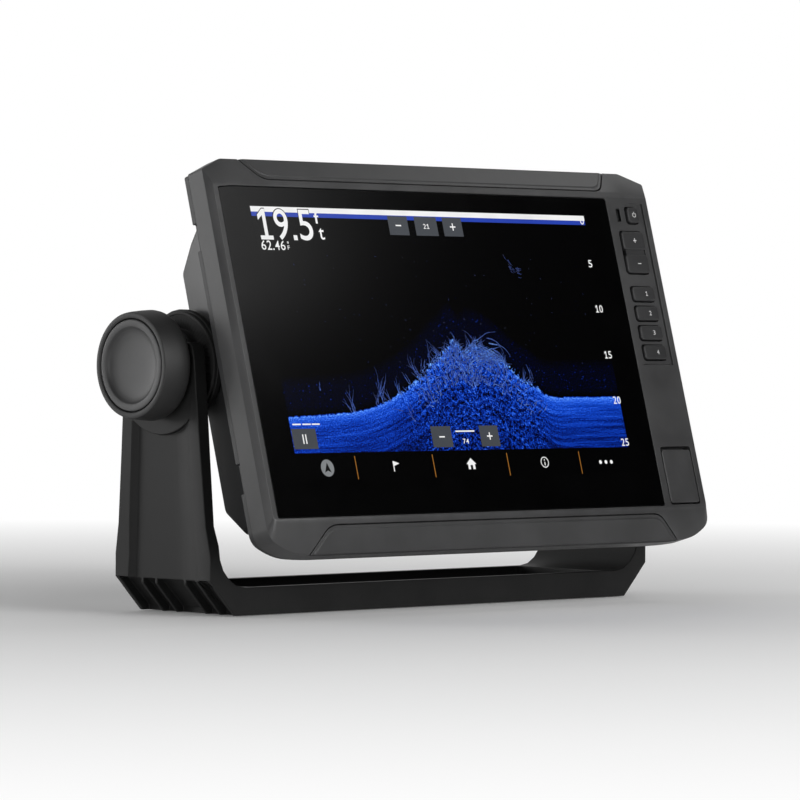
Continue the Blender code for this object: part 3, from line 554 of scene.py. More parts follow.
# ---------------------------------------------------------------- finishes

BEZEL = moulded_plastic("bezel_moulding", (0.044, 0.044, 0.045), 0.42, 0.00045, 0.00003, 0.6)
TRIM = moulded_plastic("trim_moulding", (0.040, 0.040, 0.041), 0.40, 0.00045, 0.00003, 0.6)
BRACKET = moulded_plastic("bracket_nylon", (0.014, 0.014, 0.014), 0.50, 0.0006, 0.00005, 0.8)
BRACKET.node_tree.nodes["Principled BSDF"].inputs["Specular IOR Level"].default_value = 0.22
HOUSING = moulded_plastic("housing_nylon", (0.020, 0.020, 0.021), 0.46, 0.0006, 0.00005, 0.6)
KNOB = moulded_plastic("knob_rubber", (0.020, 0.020, 0.020), 0.55, 0.0005, 0.00004, 0.7)
KNOB_FACE = moulded_plastic("knob_face_moulding", (0.045, 0.045, 0.046), 0.48, 0.0005, 0.00003, 0.5)
KEY = moulded_plastic("key_rubber", (0.017, 0.017, 0.018), 0.50, 0.00035, 0.00002, 0.4)
SEAL = moulded_plastic("seal_rubber", (0.014, 0.014, 0.014), 0.62, 0.0006, 0.00003, 0.3)
STEEL = worked_metal("stainless_steel", (0.60, 0.59, 0.57), 0.30, (4000.0, 300.0, 300.0))
TIN = worked_metal("tinned_sheet", (0.62, 0.62, 0.63), 0.38, (300.0, 300.0, 3000.0))
BRASS = worked_metal("turned_brass", (0.68, 0.48, 0.20), 0.32, (4000.0, 300.0, 300.0))
CERAMIC = moulded_plastic("fired_ceramic", (0.62, 0.55, 0.40), 0.60, 0.0003, 0.00002, 0.2, 0.06)
BOARD = board_laminate()
GLASS_FINISH = front_glass()
LEGEND = moulded_plastic("legend_ink", (0.62, 0.62, 0.62), 0.50, 0.0003, 0.00001, 0.1, 0.05)
WHITE_LIGHT = lit("white_readout", (1.0, 1.0, 1.0), 0.92)
BLUE_LIGHT = lit("blue_readout", (0.010, 0.045, 0.42), 1.0)
GREY_LIGHT = lit("grey_button", (0.050, 0.056, 0.066), 1.0)
DIM_LIGHT = lit("dim_readout", (0.21, 0.22, 0.23), 1.0)
AMBER_LIGHT = lit("amber_divider", (0.42, 0.17, 0.02), 0.9)
BLACK_OUTLINE = lit("readout_outline", (0.0, 0.0, 0.0), 0.0, (0.002, 0.002, 0.002))

NODE_FINISHES = {
    STEEL: ["knob_stud_left", "knob_stud_right", "lever_pin", "lever_spring", "card_door_pin", "card_reader"],
    BRASS: ["threaded_insert_left", "threaded_insert_right"],
    BOARD: ["keypad_board", "main_board", "sonar_board"],
    TIN: ["panel_frame", "sonar_shield"],
    CERAMIC: ["gps_antenna"],
    SEAL: ["knob_washer_left", "knob_washer_right", "key_mat", "card_door_seal", "housing_seal", "beeper"],
    GLASS_FINISH: ["lcd_panel"],
}
for finish, names in NODE_FINISHES.items():
    for name in names:
        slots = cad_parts[name].data.materials
        slots.clear()
        slots.append(finish)


# ---------------------------------------------------------------- front mouldings

def softened(corners, steps=5):
    """A closed outline of (x, up, out, setback) corners, each rounded from its setback on either side."""
    points = []
    for i, (x, up, out, setback) in enumerate(corners):
        corner = Vector((x, up, out))
        before = Vector(corners[i - 1][:3])
        after = Vector(corners[(i + 1) % len(corners)][:3])
        start = corner + (before - corner).normalized() * setback
        end = corner + (after - corner).normalized() * setback
        for step in range(steps + 1):
            share = step / steps
            points.append(start.lerp(corner, share).lerp(corner.lerp(end, share), share))
    return points


def unit_corners(side_out, top_out, bottom_out, shrink=0.0):
    """The unit's outline as corners; the bottom corners turn through three soft bends."""
    half = [(0.1060, -0.0882, bottom_out, 0.0070), (0.1200, -0.0870, bottom_out, 0.0060),
            (0.1310, -0.0810, side_out, 0.0045), (0.1310, 0.0745, side_out, 0.0007),
            (0.1185, 0.0798, top_out, 0.0012)]
    right = [(x - shrink, up - math.copysign(shrink, up), out, setback) for x, up, out, setback in half]
    return right + [(-x, up, out, setback) for x, up, out, setback in reversed(right)]


def in_head(points):
    return [(x, -out, up) for x, up, out in points]


def ridge_corners():
    half = [(0.1060, -0.0760, FACE_OUT, 0.0040), (0.1190, -0.0758, FACE_OUT, 0.0040),
            (0.1288, -0.0740, FACE_OUT, 0.0022), (0.1288, 0.0674, FACE_OUT, 0.0007),
            (0.1170, 0.0696, FACE_OUT, 0.0016)]
    return half + [(-x, up, out, setback) for x, up, out, setback in reversed(half)]


def trim_rings(top, grow, levels):
    """Rings of a cover strip in the bezel's slanted edge; each level is (height off the slope, inset)."""
    if top:
        inner, outer, inner_half, outer_half = (0.0702, 0.0490), (0.0798, 0.0446), 0.1006, 0.1084
    else:
        inner, outer, inner_half, outer_half = (-0.0766, 0.0491), (-0.0882, 0.0460), 0.0982, 0.1095
    inner, outer = Vector(inner), Vector(outer)
    lean = (outer - inner).normalized()
    proud = Vector((abs(lean[1]) * math.copysign(1, outer[0]), abs(lean[0])))
    run = (outer - inner).length
    slant = (outer_half - inner_half) / run
    rings = []
    for level, inset in levels:
        low = inset - grow
        high = run + (0.0020 if grow else -0.0002)
        half_low = inner_half + slant * low - (inset - grow) * 1.15
        half_high = inner_half + slant * high - (inset - grow) * 1.15
        corners = [(half_high, high, 0.0, 0.0001), (-half_high, high, 0.0, 0.0001),
                   (-half_low, low, 0.0, 0.0042), (half_low, low, 0.0, 0.0042)]
        ring = []
        for x, along, _ in softened(corners):
            place = inner + lean * along + proud * level
            ring.append((x, -place[1], place[0]))
        rings.append(ring)
    return rings


def pane_outline(grow_x=0.0, grow_up=0.0):
    """The glass pane's outline, grown sideways and upright."""
    left, right, bottom, top = GLASS
    corners = [(right, top, 0.0016), (-0.1190, top + 0.0002, 0.0008), (left, top - 0.0005, 0.0006),
               (left, bottom, 0.0012), (right, bottom, 0.0012)]
    grown = [(x + math.copysign(grow_x, x), up + math.copysign(grow_up, up), 0.0, setback)
             for x, up, setback in corners]
    return [(x, up) for x, up, _ in softened(grown)]


def front_bezel():
    back = in_head(softened(unit_corners(BEZEL_BACK, BEZEL_BACK, BEZEL_BACK)))
    edge = in_head(softened(unit_corners(0.0466, 0.0446, 0.0460)))
    ridge = in_head(softened(ridge_corners()))
    bezel = loft([back, edge, ridge])
    glass_hole = pane_outline(0.0002, 0.0003)
    cutters = [slab(rectangle(-0.1215, 0.1035, -0.0700, 0.0660), 0.03, 0.0446),
               slab(rectangle(0.1030, 0.1255, -0.0700, 0.0665), 0.03, 0.0422),
               slab(glass_hole, 0.0467, 0.06),
               slab(rectangle(*WINDOW), 0.03, 0.06)]
    bezel = cut(bezel, *cutters)
    # The key panel sinks gently towards the right, and a narrow channel runs down and along its far edges.
    panel = [(-0.0494, 0.1045), (-0.0494, 0.1254), (-0.04855, 0.1254), (-0.0492, 0.1045)]
    panel_cutter = loft([[(x, out, up) for out, x in panel] for up in (-0.0094, 0.0647)])
    cutters = [panel_cutter,
               slab(rectangle(0.1249, 0.1256, -0.0096, 0.0647), 0.0481, 0.06),
               slab(rectangle(0.1070, 0.1256, -0.0096, -0.0089), 0.0483, 0.06)]
    wells = [POWER_KEY, (KEY_LEFT, KEY_RIGHT, 0.0325, 0.0515)]
    wells += [(KEY_LEFT, KEY_RIGHT, top - NUMBER_KEY_HEIGHT, top) for top in NUMBER_KEY_TOPS]
    for place in wells:
        cutters.append(slab(rectangle(*place, grow=0.0005, radius=0.0017), 0.03, 0.06))
    cutters.append(slab(rectangle(*SENSOR, grow=0.00025, radius=0.0006), 0.0464, 0.06))
    cutters.append(slab(rectangle(*DOOR_POCKET, radius=0.0013), 0.0452, 0.06))
    cutters.append(slab(rectangle(0.1100, 0.1215, -0.0660, -0.0520), 0.03, 0.06))
    for spot in HOUSING_SCREWS:
        cutters.append(slab(circle(0.0014, spot, 16), 0.03, 0.0445))
    for is_top in (True, False):
        cutters.append(loft(trim_rings(is_top, 0.0004, [(-0.0020, 0.0), (0.0030, 0.0)])))
    return cut(bezel, *cutters)


def cushion(outline, low, high, edge, crown=0.00006):
    """A cap with a rounded rim and a faint crown, from an outline function of how far it is grown."""
    rings = [(0.0, low), (0.0, high - edge)]
    for step in range(1, 5):
        angle = math.radians(90) * step / 4
        rings.append((-edge * (1.0 - math.cos(angle)), high - edge * (1.0 - math.sin(angle))))
    rings.append((-edge - 0.0007, high + crown))
    return loft([[(x, -out, up) for x, up in outline(grow)] for grow, out in rings])


def key_cap(place, radius=0.0015):
    return cushion(lambda grow: rectangle(*place, grow=grow, radius=radius + grow * 0.6),
                   0.0425, KEY_TOP_OUT, 0.0005)


def lettering(text, left, right, bottom, top, out, weight=0.0):
    """Flat numerals or signs that fill a place on the head's face, a hair thick."""
    curve = bpy.data.curves.new("lettering", "FONT")
    curve.body = text
    curve.offset = weight
    curve.extrude = 0.001
    holder = bpy.data.objects.new("lettering", curve)
    bpy.context.scene.collection.objects.link(holder)
    flat = holder.evaluated_get(bpy.context.evaluated_depsgraph_get())
    shape = bmesh.new()
    shape.from_mesh(flat.to_mesh())
    flat.to_mesh_clear()
    bpy.data.objects.remove(holder)
    bpy.data.curves.remove(curve)
    low_x = min(vert.co.x for vert in shape.verts)
    low_y = min(vert.co.y for vert in shape.verts)
    across = (right - left) / (max(vert.co.x for vert in shape.verts) - low_x)
    along = (top - bottom) / (max(vert.co.y for vert in shape.verts) - low_y)
    for vert in shape.verts:
        x, y, thick = vert.co
        vert.co = (left + (x - low_x) * across, -(out + (INK if thick > 0 else 0.0)),
                   bottom + (y - low_y) * along)
    return shape


def patch(outline, out):
    return slab(outline, out, out + INK)


ONE = [(0.08, 0.0), (1.0, 0.0), (1.0, 0.13), (0.66, 0.13), (0.66, 1.0), (0.46, 1.0), (0.08, 0.80),
       (0.08, 0.63), (0.42, 0.79), (0.42, 0.13), (0.08, 0.13)]


def reading(text, left, right, bottom, top, out, grow=0.0):
    """Numerals in even steps, narrow and upright; the 1 has a flag and a foot."""
    shares = [0.42 if mark == "." else 1.0 for mark in text]
    step = (right - left) / (sum(shares) - 0.20)
    shapes = []
    x = left
    for mark, share in zip(text, shares):
        start, end = x - grow, x + step * (share - 0.20) + grow
        low, high = bottom - grow, top + grow
        if mark == "1":
            shapes.append(patch([(start + (end - start) * u, low + (high - low) * v) for u, v in ONE], out))
        elif mark == ".":
            shapes.append(box_patch(start, end, low, low + (top - bottom) * 0.16 + 2 * grow, out))
        else:
            shapes.append(lettering(mark, start, end, low, high, out, 0.004))
        x += step * share
    return merged(*shapes)


def box_patch(left, right, bottom, top, out, radius=0.0):
    return patch(rectangle(left, right, bottom, top, radius=radius), out)


def ring_patch(centre, outer, inner, out, start=0.0, sweep=math.tau, steps=40):
    """A flat ring, or part of one, facing out of the head."""
    outer_arc = []
    inner_arc = []
    for step in range(steps + 1):
        angle = start + sweep * step / steps
        outer_arc.append((centre[0] + outer * math.cos(angle), centre[1] + outer * math.sin(angle)))
        inner_arc.append((centre[0] + inner * math.cos(angle), centre[1] + inner * math.sin(angle)))
    shape = bmesh.new()
    top = [[shape.verts.new((x, -out - INK, up)) for x, up in arc] for arc in (outer_arc, inner_arc)]
    for i in range(steps):
        shape.faces.new((top[0][i], top[0][i + 1], top[1][i + 1], top[1][i]))
    bmesh.ops.recalc_face_normals(shape, faces=shape.faces)
    return shape


def sign(centre, size, stroke, out, plus):
    """A plus or a minus."""
    x, up = centre
    shapes = [box_patch(x - size / 2, x + size / 2, up - stroke / 2, up + stroke / 2, out)]
    if plus:
        shapes.append(box_patch(x - stroke / 2, x + stroke / 2, up - size / 2, up + size / 2, out + 0.00001))
    return merged(*shapes)


def middle(place):
    return (place[0] + place[1]) / 2, (place[2] + place[3]) / 2


UNIT = "display_unit"
add_piece("bezel_moulded", front_bezel(), BEZEL, UNIT, ("front_bezel",), edge=0.00022)
for is_top, node_name in ((True, "top_trim"), (False, "bottom_trim")):
    levels = [(-0.0019, 0.0), (-0.0002, 0.0), (-0.00005, 0.00018), (0.0000, 0.0014), (0.0003, 0.0019)]
    add_piece(node_name + "_moulded", loft(trim_rings(is_top, 0.0, levels)), TRIM, UNIT,
              (node_name,), edge=0.00012)

add_piece("front_glass", slab(pane_outline(), 0.0472, GLASS_OUT), GLASS_FINISH, UNIT,
          ("display_glass",), edge=0.00015)
window = cushion(lambda grow: rectangle(*SENSOR, grow=grow, radius=0.0005 + grow * 0.5),
                 0.0467, 0.0491, 0.00015)
add_piece("sensor_window", window, GLASS_FINISH, UNIT, ("light_sensor_window",))

add_piece("power_key_cap", key_cap(POWER_KEY, 0.0017), KEY, "power_key", ("power_key",))
bridge = slab(rectangle(KEY_LEFT + 0.0014, KEY_RIGHT - 0.0009, 0.0400, 0.0440), 0.0430, KEY_TOP_OUT - 0.0007)
rocker = merged(key_cap(PLUS_HALF), key_cap(MINUS_HALF), bridge)
add_piece("zoom_rocker_cap", rocker, KEY, "zoom_rocker", ("zoom_rocker",))
door_left, door_right, door_bottom, door_top = DOOR_POCKET
door_place = (door_left + 0.0005, door_right - 0.0005, door_bottom + 0.0008, door_top - 0.0016)
door = cushion(lambda grow: rectangle(*door_place, grow=grow, radius=0.0012 + grow * 0.5),
               0.0462, FACE_OUT, 0.0003)
knuckle = bar(circle(0.0016, (-0.0474, -0.0703), 32), door_left + 0.0005, door_right - 0.0005)
add_piece("card_door_moulded", merged(door, knuckle), BEZEL, "card_door", ("card_door",))

LEGEND_OUT = KEY_TOP_OUT + 0.00007
for number, top in enumerate(NUMBER_KEY_TOPS, 1):
    place = (KEY_LEFT, KEY_RIGHT, top - NUMBER_KEY_HEIGHT, top)
    name = "key_%d" % number
    add_piece(name + "_cap", key_cap(place), KEY, name, (name,))
    x, up = middle(place)
    numeral = reading(str(number), x + 0.0008, x + 0.0022, up - 0.0010, up + 0.0010, LEGEND_OUT)
    add_piece(name + "_numeral", numeral, LEGEND, name)
x, up = middle(POWER_KEY)
gap = math.radians(32)
power_ring = ring_patch((x + 0.0004, up), 0.00115, 0.00080, LEGEND_OUT, math.radians(90) + gap,
                        math.tau - 2 * gap)
power_sign = merged(power_ring, box_patch(x + 0.0002, x + 0.0006, up + 0.0002, up + 0.0014, LEGEND_OUT))
add_piece("power_key_sign", power_sign, LEGEND, "power_key")
x, up = middle(PLUS_HALF)
signs = [sign((x + 0.0006, up), 0.0021, 0.00042, LEGEND_OUT, True)]
x, up = middle(MINUS_HALF)
signs.append(sign((x + 0.0008, up), 0.0021, 0.00042, LEGEND_OUT, False))
add_piece("zoom_rocker_signs", merged(*signs), LEGEND, "zoom_rocker")


# ---------------------------------------------------------------- lit picture

def add_picture():
    """The sheet that carries the sonar picture, with its own flat texture places."""
    left, right, bottom, top = PICTURE
    shape = slab(rectangle(*PICTURE), PICTURE_OUT - INK, PICTURE_OUT)
    layer = shape.loops.layers.uv.new("picture")
    for face in shape.faces:
        for loop in face.loops:
            x, _, up = loop.vert.co
            loop[layer].uv = ((x - left) / (right - left), (up - bottom) / (top - bottom))
    add_piece("sonar_picture", shape, sonar_scan(), UNIT)


def sea_bed_up(x):
    for (x0, up0), (x1, up1) in zip(SEA_BED, SEA_BED[1:]):
        if x0 <= x <= x1:
            return up0 + (up1 - up0) * (x - x0) / (x1 - x0)
    return SEA_BED[-1][1]


def strand(shape, layer, start, heading, length, width, bend, brightness):
    """One thin bent echo: a ribbon that narrows to its tip."""
    steps = max(4, int(length / 0.0008))
    x, up = start
    before = None
    for step in range(steps + 1):
        share = step / steps
        half = width * (1.0 - 0.75 * share) * (0.7 + 0.6 * random.random()) / 2
        side = (math.sin(heading) * half, -math.cos(heading) * half)
        pair = (shape.verts.new((x + side[0], -PICTURE_OUT - 0.00003, up + side[1])),
                shape.verts.new((x - side[0], -PICTURE_OUT - 0.00003, up - side[1])))
        if before:
            face = shape.faces.new((before[0], before[1], pair[1], pair[0]))
            level = brightness * (0.55 + 0.45 * random.random()) * (1.0 - 0.4 * share)
            for loop in face.loops:
                loop[layer] = (0.02 * level + 0.22 * level ** 3, 0.14 * level + 0.34 * level ** 3,
                               0.95 * level, 1.0)
        before = pair
        x += math.cos(heading) * length / steps
        up += math.sin(heading) * length / steps
        heading += bend / steps + random.uniform(-0.22, 0.22)


# The tallest strands of the brush: where each starts, its heading in degrees and its length.
TALL_STRANDS = [((-0.0729, -0.0289), 112, 0.0115), ((-0.0735, -0.0285), 118, 0.0070),
                ((-0.0560, -0.0250), 96, 0.0150), ((-0.0575, -0.0220), 62, 0.0090),
                ((-0.0520, -0.0230), 128, 0.0090), ((-0.0590, -0.0260), 80, 0.0070),
                ((-0.0310, -0.0150), 136, 0.0100), ((-0.0330, -0.0140), 120, 0.0110),
                ((-0.0460, -0.0215), 95, 0.0080), ((-0.0245, -0.0080), 78, 0.0110),
                ((-0.0180, -0.0050), 128, 0.0095), ((0.0020, -0.0010), 112, 0.0098),
                ((-0.0078, -0.0060), 88, 0.0110), ((-0.0085, -0.0050), 96, 0.0090),
                ((-0.0070, -0.0080), 84, 0.0100), ((0.0300, -0.0160), 80, 0.0060),
                ((0.0352, -0.0150), 98, 0.0050), ((-0.0300, -0.0110), 60, 0.0075),
                ((-0.0900, -0.0190), 92, 0.0025), ((0.0330, -0.0170), 60, 0.0040)]


def add_brush_echoes():
    """The sunken brush: strands out of the sea bed, arches over its right shoulder, and loose echoes."""
    shape = bmesh.new()
    layer = shape.loops.layers.float_color.new("glow")
    for _ in range(430):
        x = random.gauss(-0.004, 0.0165)
        if not -0.050 < x < 0.040:
            continue
        start = (x, sea_bed_up(x) - random.uniform(-0.0010, 0.0170))
        lean = math.radians(90) + (-0.012 - x) * 22 + random.gauss(0.0, 0.75)
        length = random.uniform(0.0015, 0.0065)
        strand(shape, layer, start, lean, length, 0.00042, random.uniform(-1.2, 1.2),
               random.uniform(0.35, 1.0))
    for _ in range(46):
        centre = (random.gauss(0.0085, 0.003), random.gauss(-0.0140, 0.002))
        radius = random.uniform(0.007, 0.0128)
        angle = math.radians(random.uniform(60, 150))
        start = (centre[0] + radius * 1.15 * math.cos(angle), centre[1] + radius * math.sin(angle))
        sweep = random.uniform(0.7, 1.6)
        strand(shape, layer, start, angle - math.radians(90), radius * sweep, 0.0005, -sweep,
               random.uniform(0.5, 1.0))
    for start, degrees, length in TALL_STRANDS:
        for _ in range(4):
            near = (start[0] + random.gauss(0.0, 0.0006), start[1] + random.gauss(0.0, 0.0010))
            strand(shape, layer, near, math.radians(degrees + random.gauss(0, 5)),
                   length * random.uniform(0.5, 1.0), 0.00038, random.uniform(-0.5, 0.5),
                   random.uniform(0.3, 0.8))
    for _ in range(26):
        along = random.random()
        start = (0.0318 + 0.007 * along + random.gauss(0, 0.0008),
                 0.0405 - 0.0095 * along ** 0.6 + random.gauss(0, 0.0010))
        strand(shape, layer, start, math.radians(-75 + 60 * along), random.uniform(0.001, 0.003), 0.0003,
               0.6, random.uniform(0.10, 0.42))
    for _ in range(70):
        start = (random.uniform(-0.100, 0.078), random.uniform(-0.018, 0.040))
        strand(shape, layer, start, random.uniform(0, 6.28), random.uniform(0.0003, 0.0009), 0.00025, 0.0,
               random.uniform(0.06, 0.30))
    bmesh.ops.recalc_face_normals(shape, faces=shape.faces)
    add_piece("brush_echo_strands", shape, brush_echoes(), UNIT)


def add_readouts():
    """Everything the screen draws over the sonar picture: line, numerals, buttons and menu signs."""
    base = PICTURE_OUT + 0.00008
    over = base + 0.00004
    left, right, _, top = PICTURE
    top_line = box_patch(left, right, 0.0560, top, base - 0.00004)
    blue = box_patch(left, right, 0.0541, 0.0560, base - 0.00004)
    outline = reading("19.5", -0.1082, -0.0778, 0.0441, 0.0573, base, 0.0004)
    white = [top_line, reading("19.5", -0.1082, -0.0778, 0.0441, 0.0573, over),
             lettering("f", -0.0760, -0.0728, 0.0515, 0.0568, over, 0.006),
             lettering("t", -0.0747, -0.0717, 0.0446, 0.0496, over, 0.006),
             reading("62.46", -0.1082, -0.0950, 0.0397, 0.0437, over),
             lettering("F", -0.0938, -0.0926, 0.0400, 0.0417, over)]
    white.append(ring_patch((-0.0932, 0.0430), 0.00048, 0.00022, over))
    for feet, up in (("0", 0.0543), ("5", 0.0348), ("10", 0.0143), ("15", -0.0065), ("20", -0.0269),
                     ("25", -0.0458)):
        half = 0.00115 * len(feet)
        white.append(reading(feet, 0.0848 - half, 0.0848 + half, up, up + 0.0033, over))
    grey = []
    for left, right, bottom, top in ((-0.0336, -0.0222, 0.0474, 0.0557), (-0.0181, -0.0050, 0.0474, 0.0557),
                                     (-0.0015, 0.0099, 0.0474, 0.0557), (-0.1104, -0.0970, -0.0446, -0.0360),
                                     (-0.0315, -0.0198, -0.0449, -0.0358),
                                     (-0.0030, 0.0081, -0.0449, -0.0358)):
        grey.append(box_patch(left, right, bottom, top, base))
    for centre, plus in (((-0.0279, 0.0516), False), ((0.0042, 0.0516), True), ((-0.0256, -0.0404), False),
                         ((0.0026, -0.0404), True)):
        white.append(sign(centre, 0.0032, 0.00055, over, plus))
    white.append(box_patch(-0.1049, -0.1043, -0.0424, -0.0384, over))
    white.append(box_patch(-0.1033, -0.1027, -0.0424, -0.0384, over))
    white.append(reading("21", -0.0133, -0.0098, 0.0505, 0.0526, over))
    white.append(reading("74", -0.0137, -0.0104, -0.0435, -0.0414, over))
    for bar_left, bar_right, up in ((-0.1092, -0.1045, -0.0345), (-0.1037, -0.0990, -0.0345),
                                    (-0.0985, -0.0940, -0.0345), (-0.0172, -0.0060, -0.0384)):
        white.append(box_patch(bar_left, bar_right, up, up + 0.0006, over, 0.00025))
    dots = [patch(circle(0.00085, (0.0704 + 0.0034 * k, -0.0528), 20), over) for k in (-1, 0, 1)]
    # Menu signs: a marker flag, a house, a dot and stem in a ring, and a heading arrow on a disc.
    flag = [box_patch(-0.0569, -0.0564, -0.0548, -0.0504, over),
            patch([(-0.0564, -0.0504), (-0.0532, -0.0514), (-0.0564, -0.0525)], over)]
    house = [patch([(-0.0114, -0.0498), (-0.0143, -0.0524), (-0.0085, -0.0524)][::-1], over),
             box_patch(-0.0134, -0.0121, -0.0546, -0.0522, over + 0.00001),
             box_patch(-0.0107, -0.0094, -0.0546, -0.0522, over + 0.00001),
             box_patch(-0.0134, -0.0094, -0.0528, -0.0520, over + 0.00002)]
    ring = [ring_patch((0.0327, -0.0523), 0.0024, 0.0020, over),
            box_patch(0.03245, 0.03295, -0.0537, -0.0522, over),
            patch(circle(0.0003, (0.0327, -0.0513), 16), over)]
    white += [*dots, *flag, *house, *ring]
    disc = patch(circle(0.0036, (-0.0941, -0.0527), 40), base)
    arrow = patch([(-0.0941, -0.0504), (-0.0959, -0.0546), (-0.0941, -0.0538), (-0.0923, -0.0546)], over)
    amber = [box_patch(x - 0.00017, x + 0.00017, -0.0577, -0.0479, over)
             for x in (-0.0779, -0.0334, 0.0106, 0.0545)]
    for label, shape, finish in (("white", merged(*white), WHITE_LIGHT),
                                 ("outline", merged(outline, arrow), BLACK_OUTLINE),
                                 ("blue", blue, BLUE_LIGHT), ("buttons", merged(*grey), GREY_LIGHT),
                                 ("disc", disc, DIM_LIGHT), ("dividers", merged(*amber), AMBER_LIGHT)):
        add_piece("readout_" + label, shape, finish, UNIT)


add_picture()
add_brush_echoes()
add_readouts()


# ---------------------------------------------------------------- rear of the display unit

def housing_body(inset=0.0):
    levels = [(0.0355, 0.1183, 0.0705, -0.0750), (0.0150, 0.1158, 0.0540, -0.0722),
              (0.0050, 0.1136, 0.0450, -0.0628), (0.0020, 0.1100, 0.0405, -0.0590)]
    rings = []
    for level, (out, half, top, bottom) in enumerate(levels):
        if inset and level == 0:
            out = 0.04
        lift = inset if level >= 2 else 0.0
        corner = 0.0028
        outline = [(half - inset, bottom + inset + corner, 0.0, 0.0015),
                   (half - inset, top - inset - corner, 0.0, 0.0015),
                   (half - inset - corner, top - inset, 0.0, 0.0015)]
        outline += [(-x, up, 0.0, soft) for x, up, _, soft in reversed(outline)]
        outline += [(-(half - inset - corner), bottom + inset, 0.0, 0.0015),
                    (half - inset - corner, bottom + inset, 0.0, 0.0015)]
        rings.append([(x, -(out + lift), up) for x, up, _ in softened(outline, 4)])
    return loft(rings)


def rear_housing():
    flange = slab([(x, up) for x, up, _ in softened(unit_corners(0.0, 0.0, 0.0, 0.0005))], 0.0345, 0.0372)
    catch_outline = [(-0.0060, 0.0440), (-0.0130, 0.0500), (-0.0120, 0.0538), (-0.0095, 0.0572),
                     (-0.0076, 0.0572)]
    housing = combine(flange, [housing_body(), bar(catch_outline, LATCH_X - 0.022, LATCH_X + 0.012)], "UNION")
    cutters = [housing_body(0.0026), slab(rectangle(-0.0303, 0.0303, -0.0373, -0.0147), -0.01, 0.02)]
    for side in (-1, 1):
        edges = sorted((side * 0.1290, side * 0.1400))
        for bottom, top in ((0.0426, 0.0538), (-0.0596, -0.0473)):
            cutters.append(slab(rectangle(*edges, bottom, top), 0.03, 0.04))
    for spot in HOUSING_SCREWS:
        cutters.append(slab(circle(0.0015, spot, 20), 0.03, 0.04))
        cutters.append(slab(circle(0.0030, spot, 24), 0.03, 0.0357))
    return cut(housing, *cutters)


add_piece("housing_moulded", rear_housing(), HOUSING, UNIT, ("rear_housing",),
          edge=0.00035)


# ---------------------------------------------------------------- knobs and pivots

def knob_body():
    face = KNOB_OUTER
    return turned([(0.0041, 0.1422), (0.0041, KNOB_INNER), (0.0203, KNOB_INNER), (0.0214, 0.1338),
                   (0.0222, 0.1344), (0.0226, 0.1352), (0.0228, 0.1364), (0.0226, 0.1400), (0.0221, 0.1452),
                   (0.0219, 0.1462), (0.0218, 0.1468), (0.02165, 0.14717), (0.0214, face), (0.0197, face),
                   (0.01945, 0.14715), (0.0193, 0.1468), (0.0192, 0.1460), (0.0191, 0.1440), (0.0028, 0.1440),
                   (0.0028, 0.1422)])


def knob_face():
    return turned([(0.0, 0.1442), (0.0187, 0.1442), (0.01885, 0.1466), (0.0188, 0.1470), (0.0186, 0.14717),
                   (0.0183, 0.1472), (0.0162, 0.1472), (0.0159, 0.1471), (0.0156, 0.1468), (0.0152, 0.1463),
                   (0.0146, 0.1459), (0.0130, 0.1455), (0.0100, 0.1452), (0.0060, 0.1450), (0.0, 0.1449)])


def toothed_disc():
    """The friction disc: fine teeth pressed into its outer face around the thick hub."""
    shape = bmesh.new()
    teeth = 144
    seat = CHEEK_OUTER + 0.0003
    profile = [(0.0050, seat, 0.0), (0.0222, seat, 0.0), (0.0222, 0.1209, 0.0),
               (0.0219, 0.1213, 0.0), (0.0214, DISC_FACE, 0.0), (0.0211, 0.1213, 0.0), (0.0209, 0.1209, 0.0),
               (0.0206, 0.1209, 0.0003), (0.0156, 0.1209, 0.0003), (0.0152, 0.1211, 0.0),
               (0.0150, 0.1214, 0.0),
               (0.0150, 0.1246, 0.0), (0.0146, 0.1250, 0.0), (0.0050, 0.1250, 0.0)]
    loops = []
    for radius, x, depth in profile:
        loop = []
        for i, (y, z) in enumerate(circle(radius, segments=teeth)):
            loop.append(shape.verts.new((x + (depth if i % 2 else -depth), y, z)))
        loops.append(loop)
    for near, far in zip(loops, loops[1:] + loops[:1]):
        for i in range(teeth):
            j = (i + 1) % teeth
            shape.faces.new((near[i], near[j], far[j], far[i]))
    bmesh.ops.recalc_face_normals(shape, faces=shape.faces)
    return shape


for side, hand in ((-1, "left"), (1, "right")):
    for stem, make, finish, slot in (("knob", knob_body, KNOB, "black_rubber"),
                                     ("knob_cap", knob_face, KNOB_FACE, "charcoal_moulding"),
                                     ("friction_disc", toothed_disc, SEAL, "black_rubber")):
        shape = make() if side == 1 else mirrored(make())
        bmesh.ops.translate(shape, verts=shape.verts, vec=PIVOT_IN_HEAD)
        node_name = "%s_%s" % (stem, hand)
        body = "cradle" if stem == "friction_disc" else "knob_" + hand
        add_piece(node_name + "_moulded", shape, finish, body, (node_name,))


# ---------------------------------------------------------------- bracket

def arm_half_depth(height):
    share = min(max((height - BASE_TOP) / (ARM_SHOULDER - BASE_TOP), 0.0), 1.0)
    return BASE_DEPTH / 2 - 0.0076 * share ** 0.85


def arm_outer(height):
    return ARM_FOOT_OUTER + 0.0022 * min((height - BASE_TOP) / (ARM_SHOULDER - BASE_TOP), 1.0)


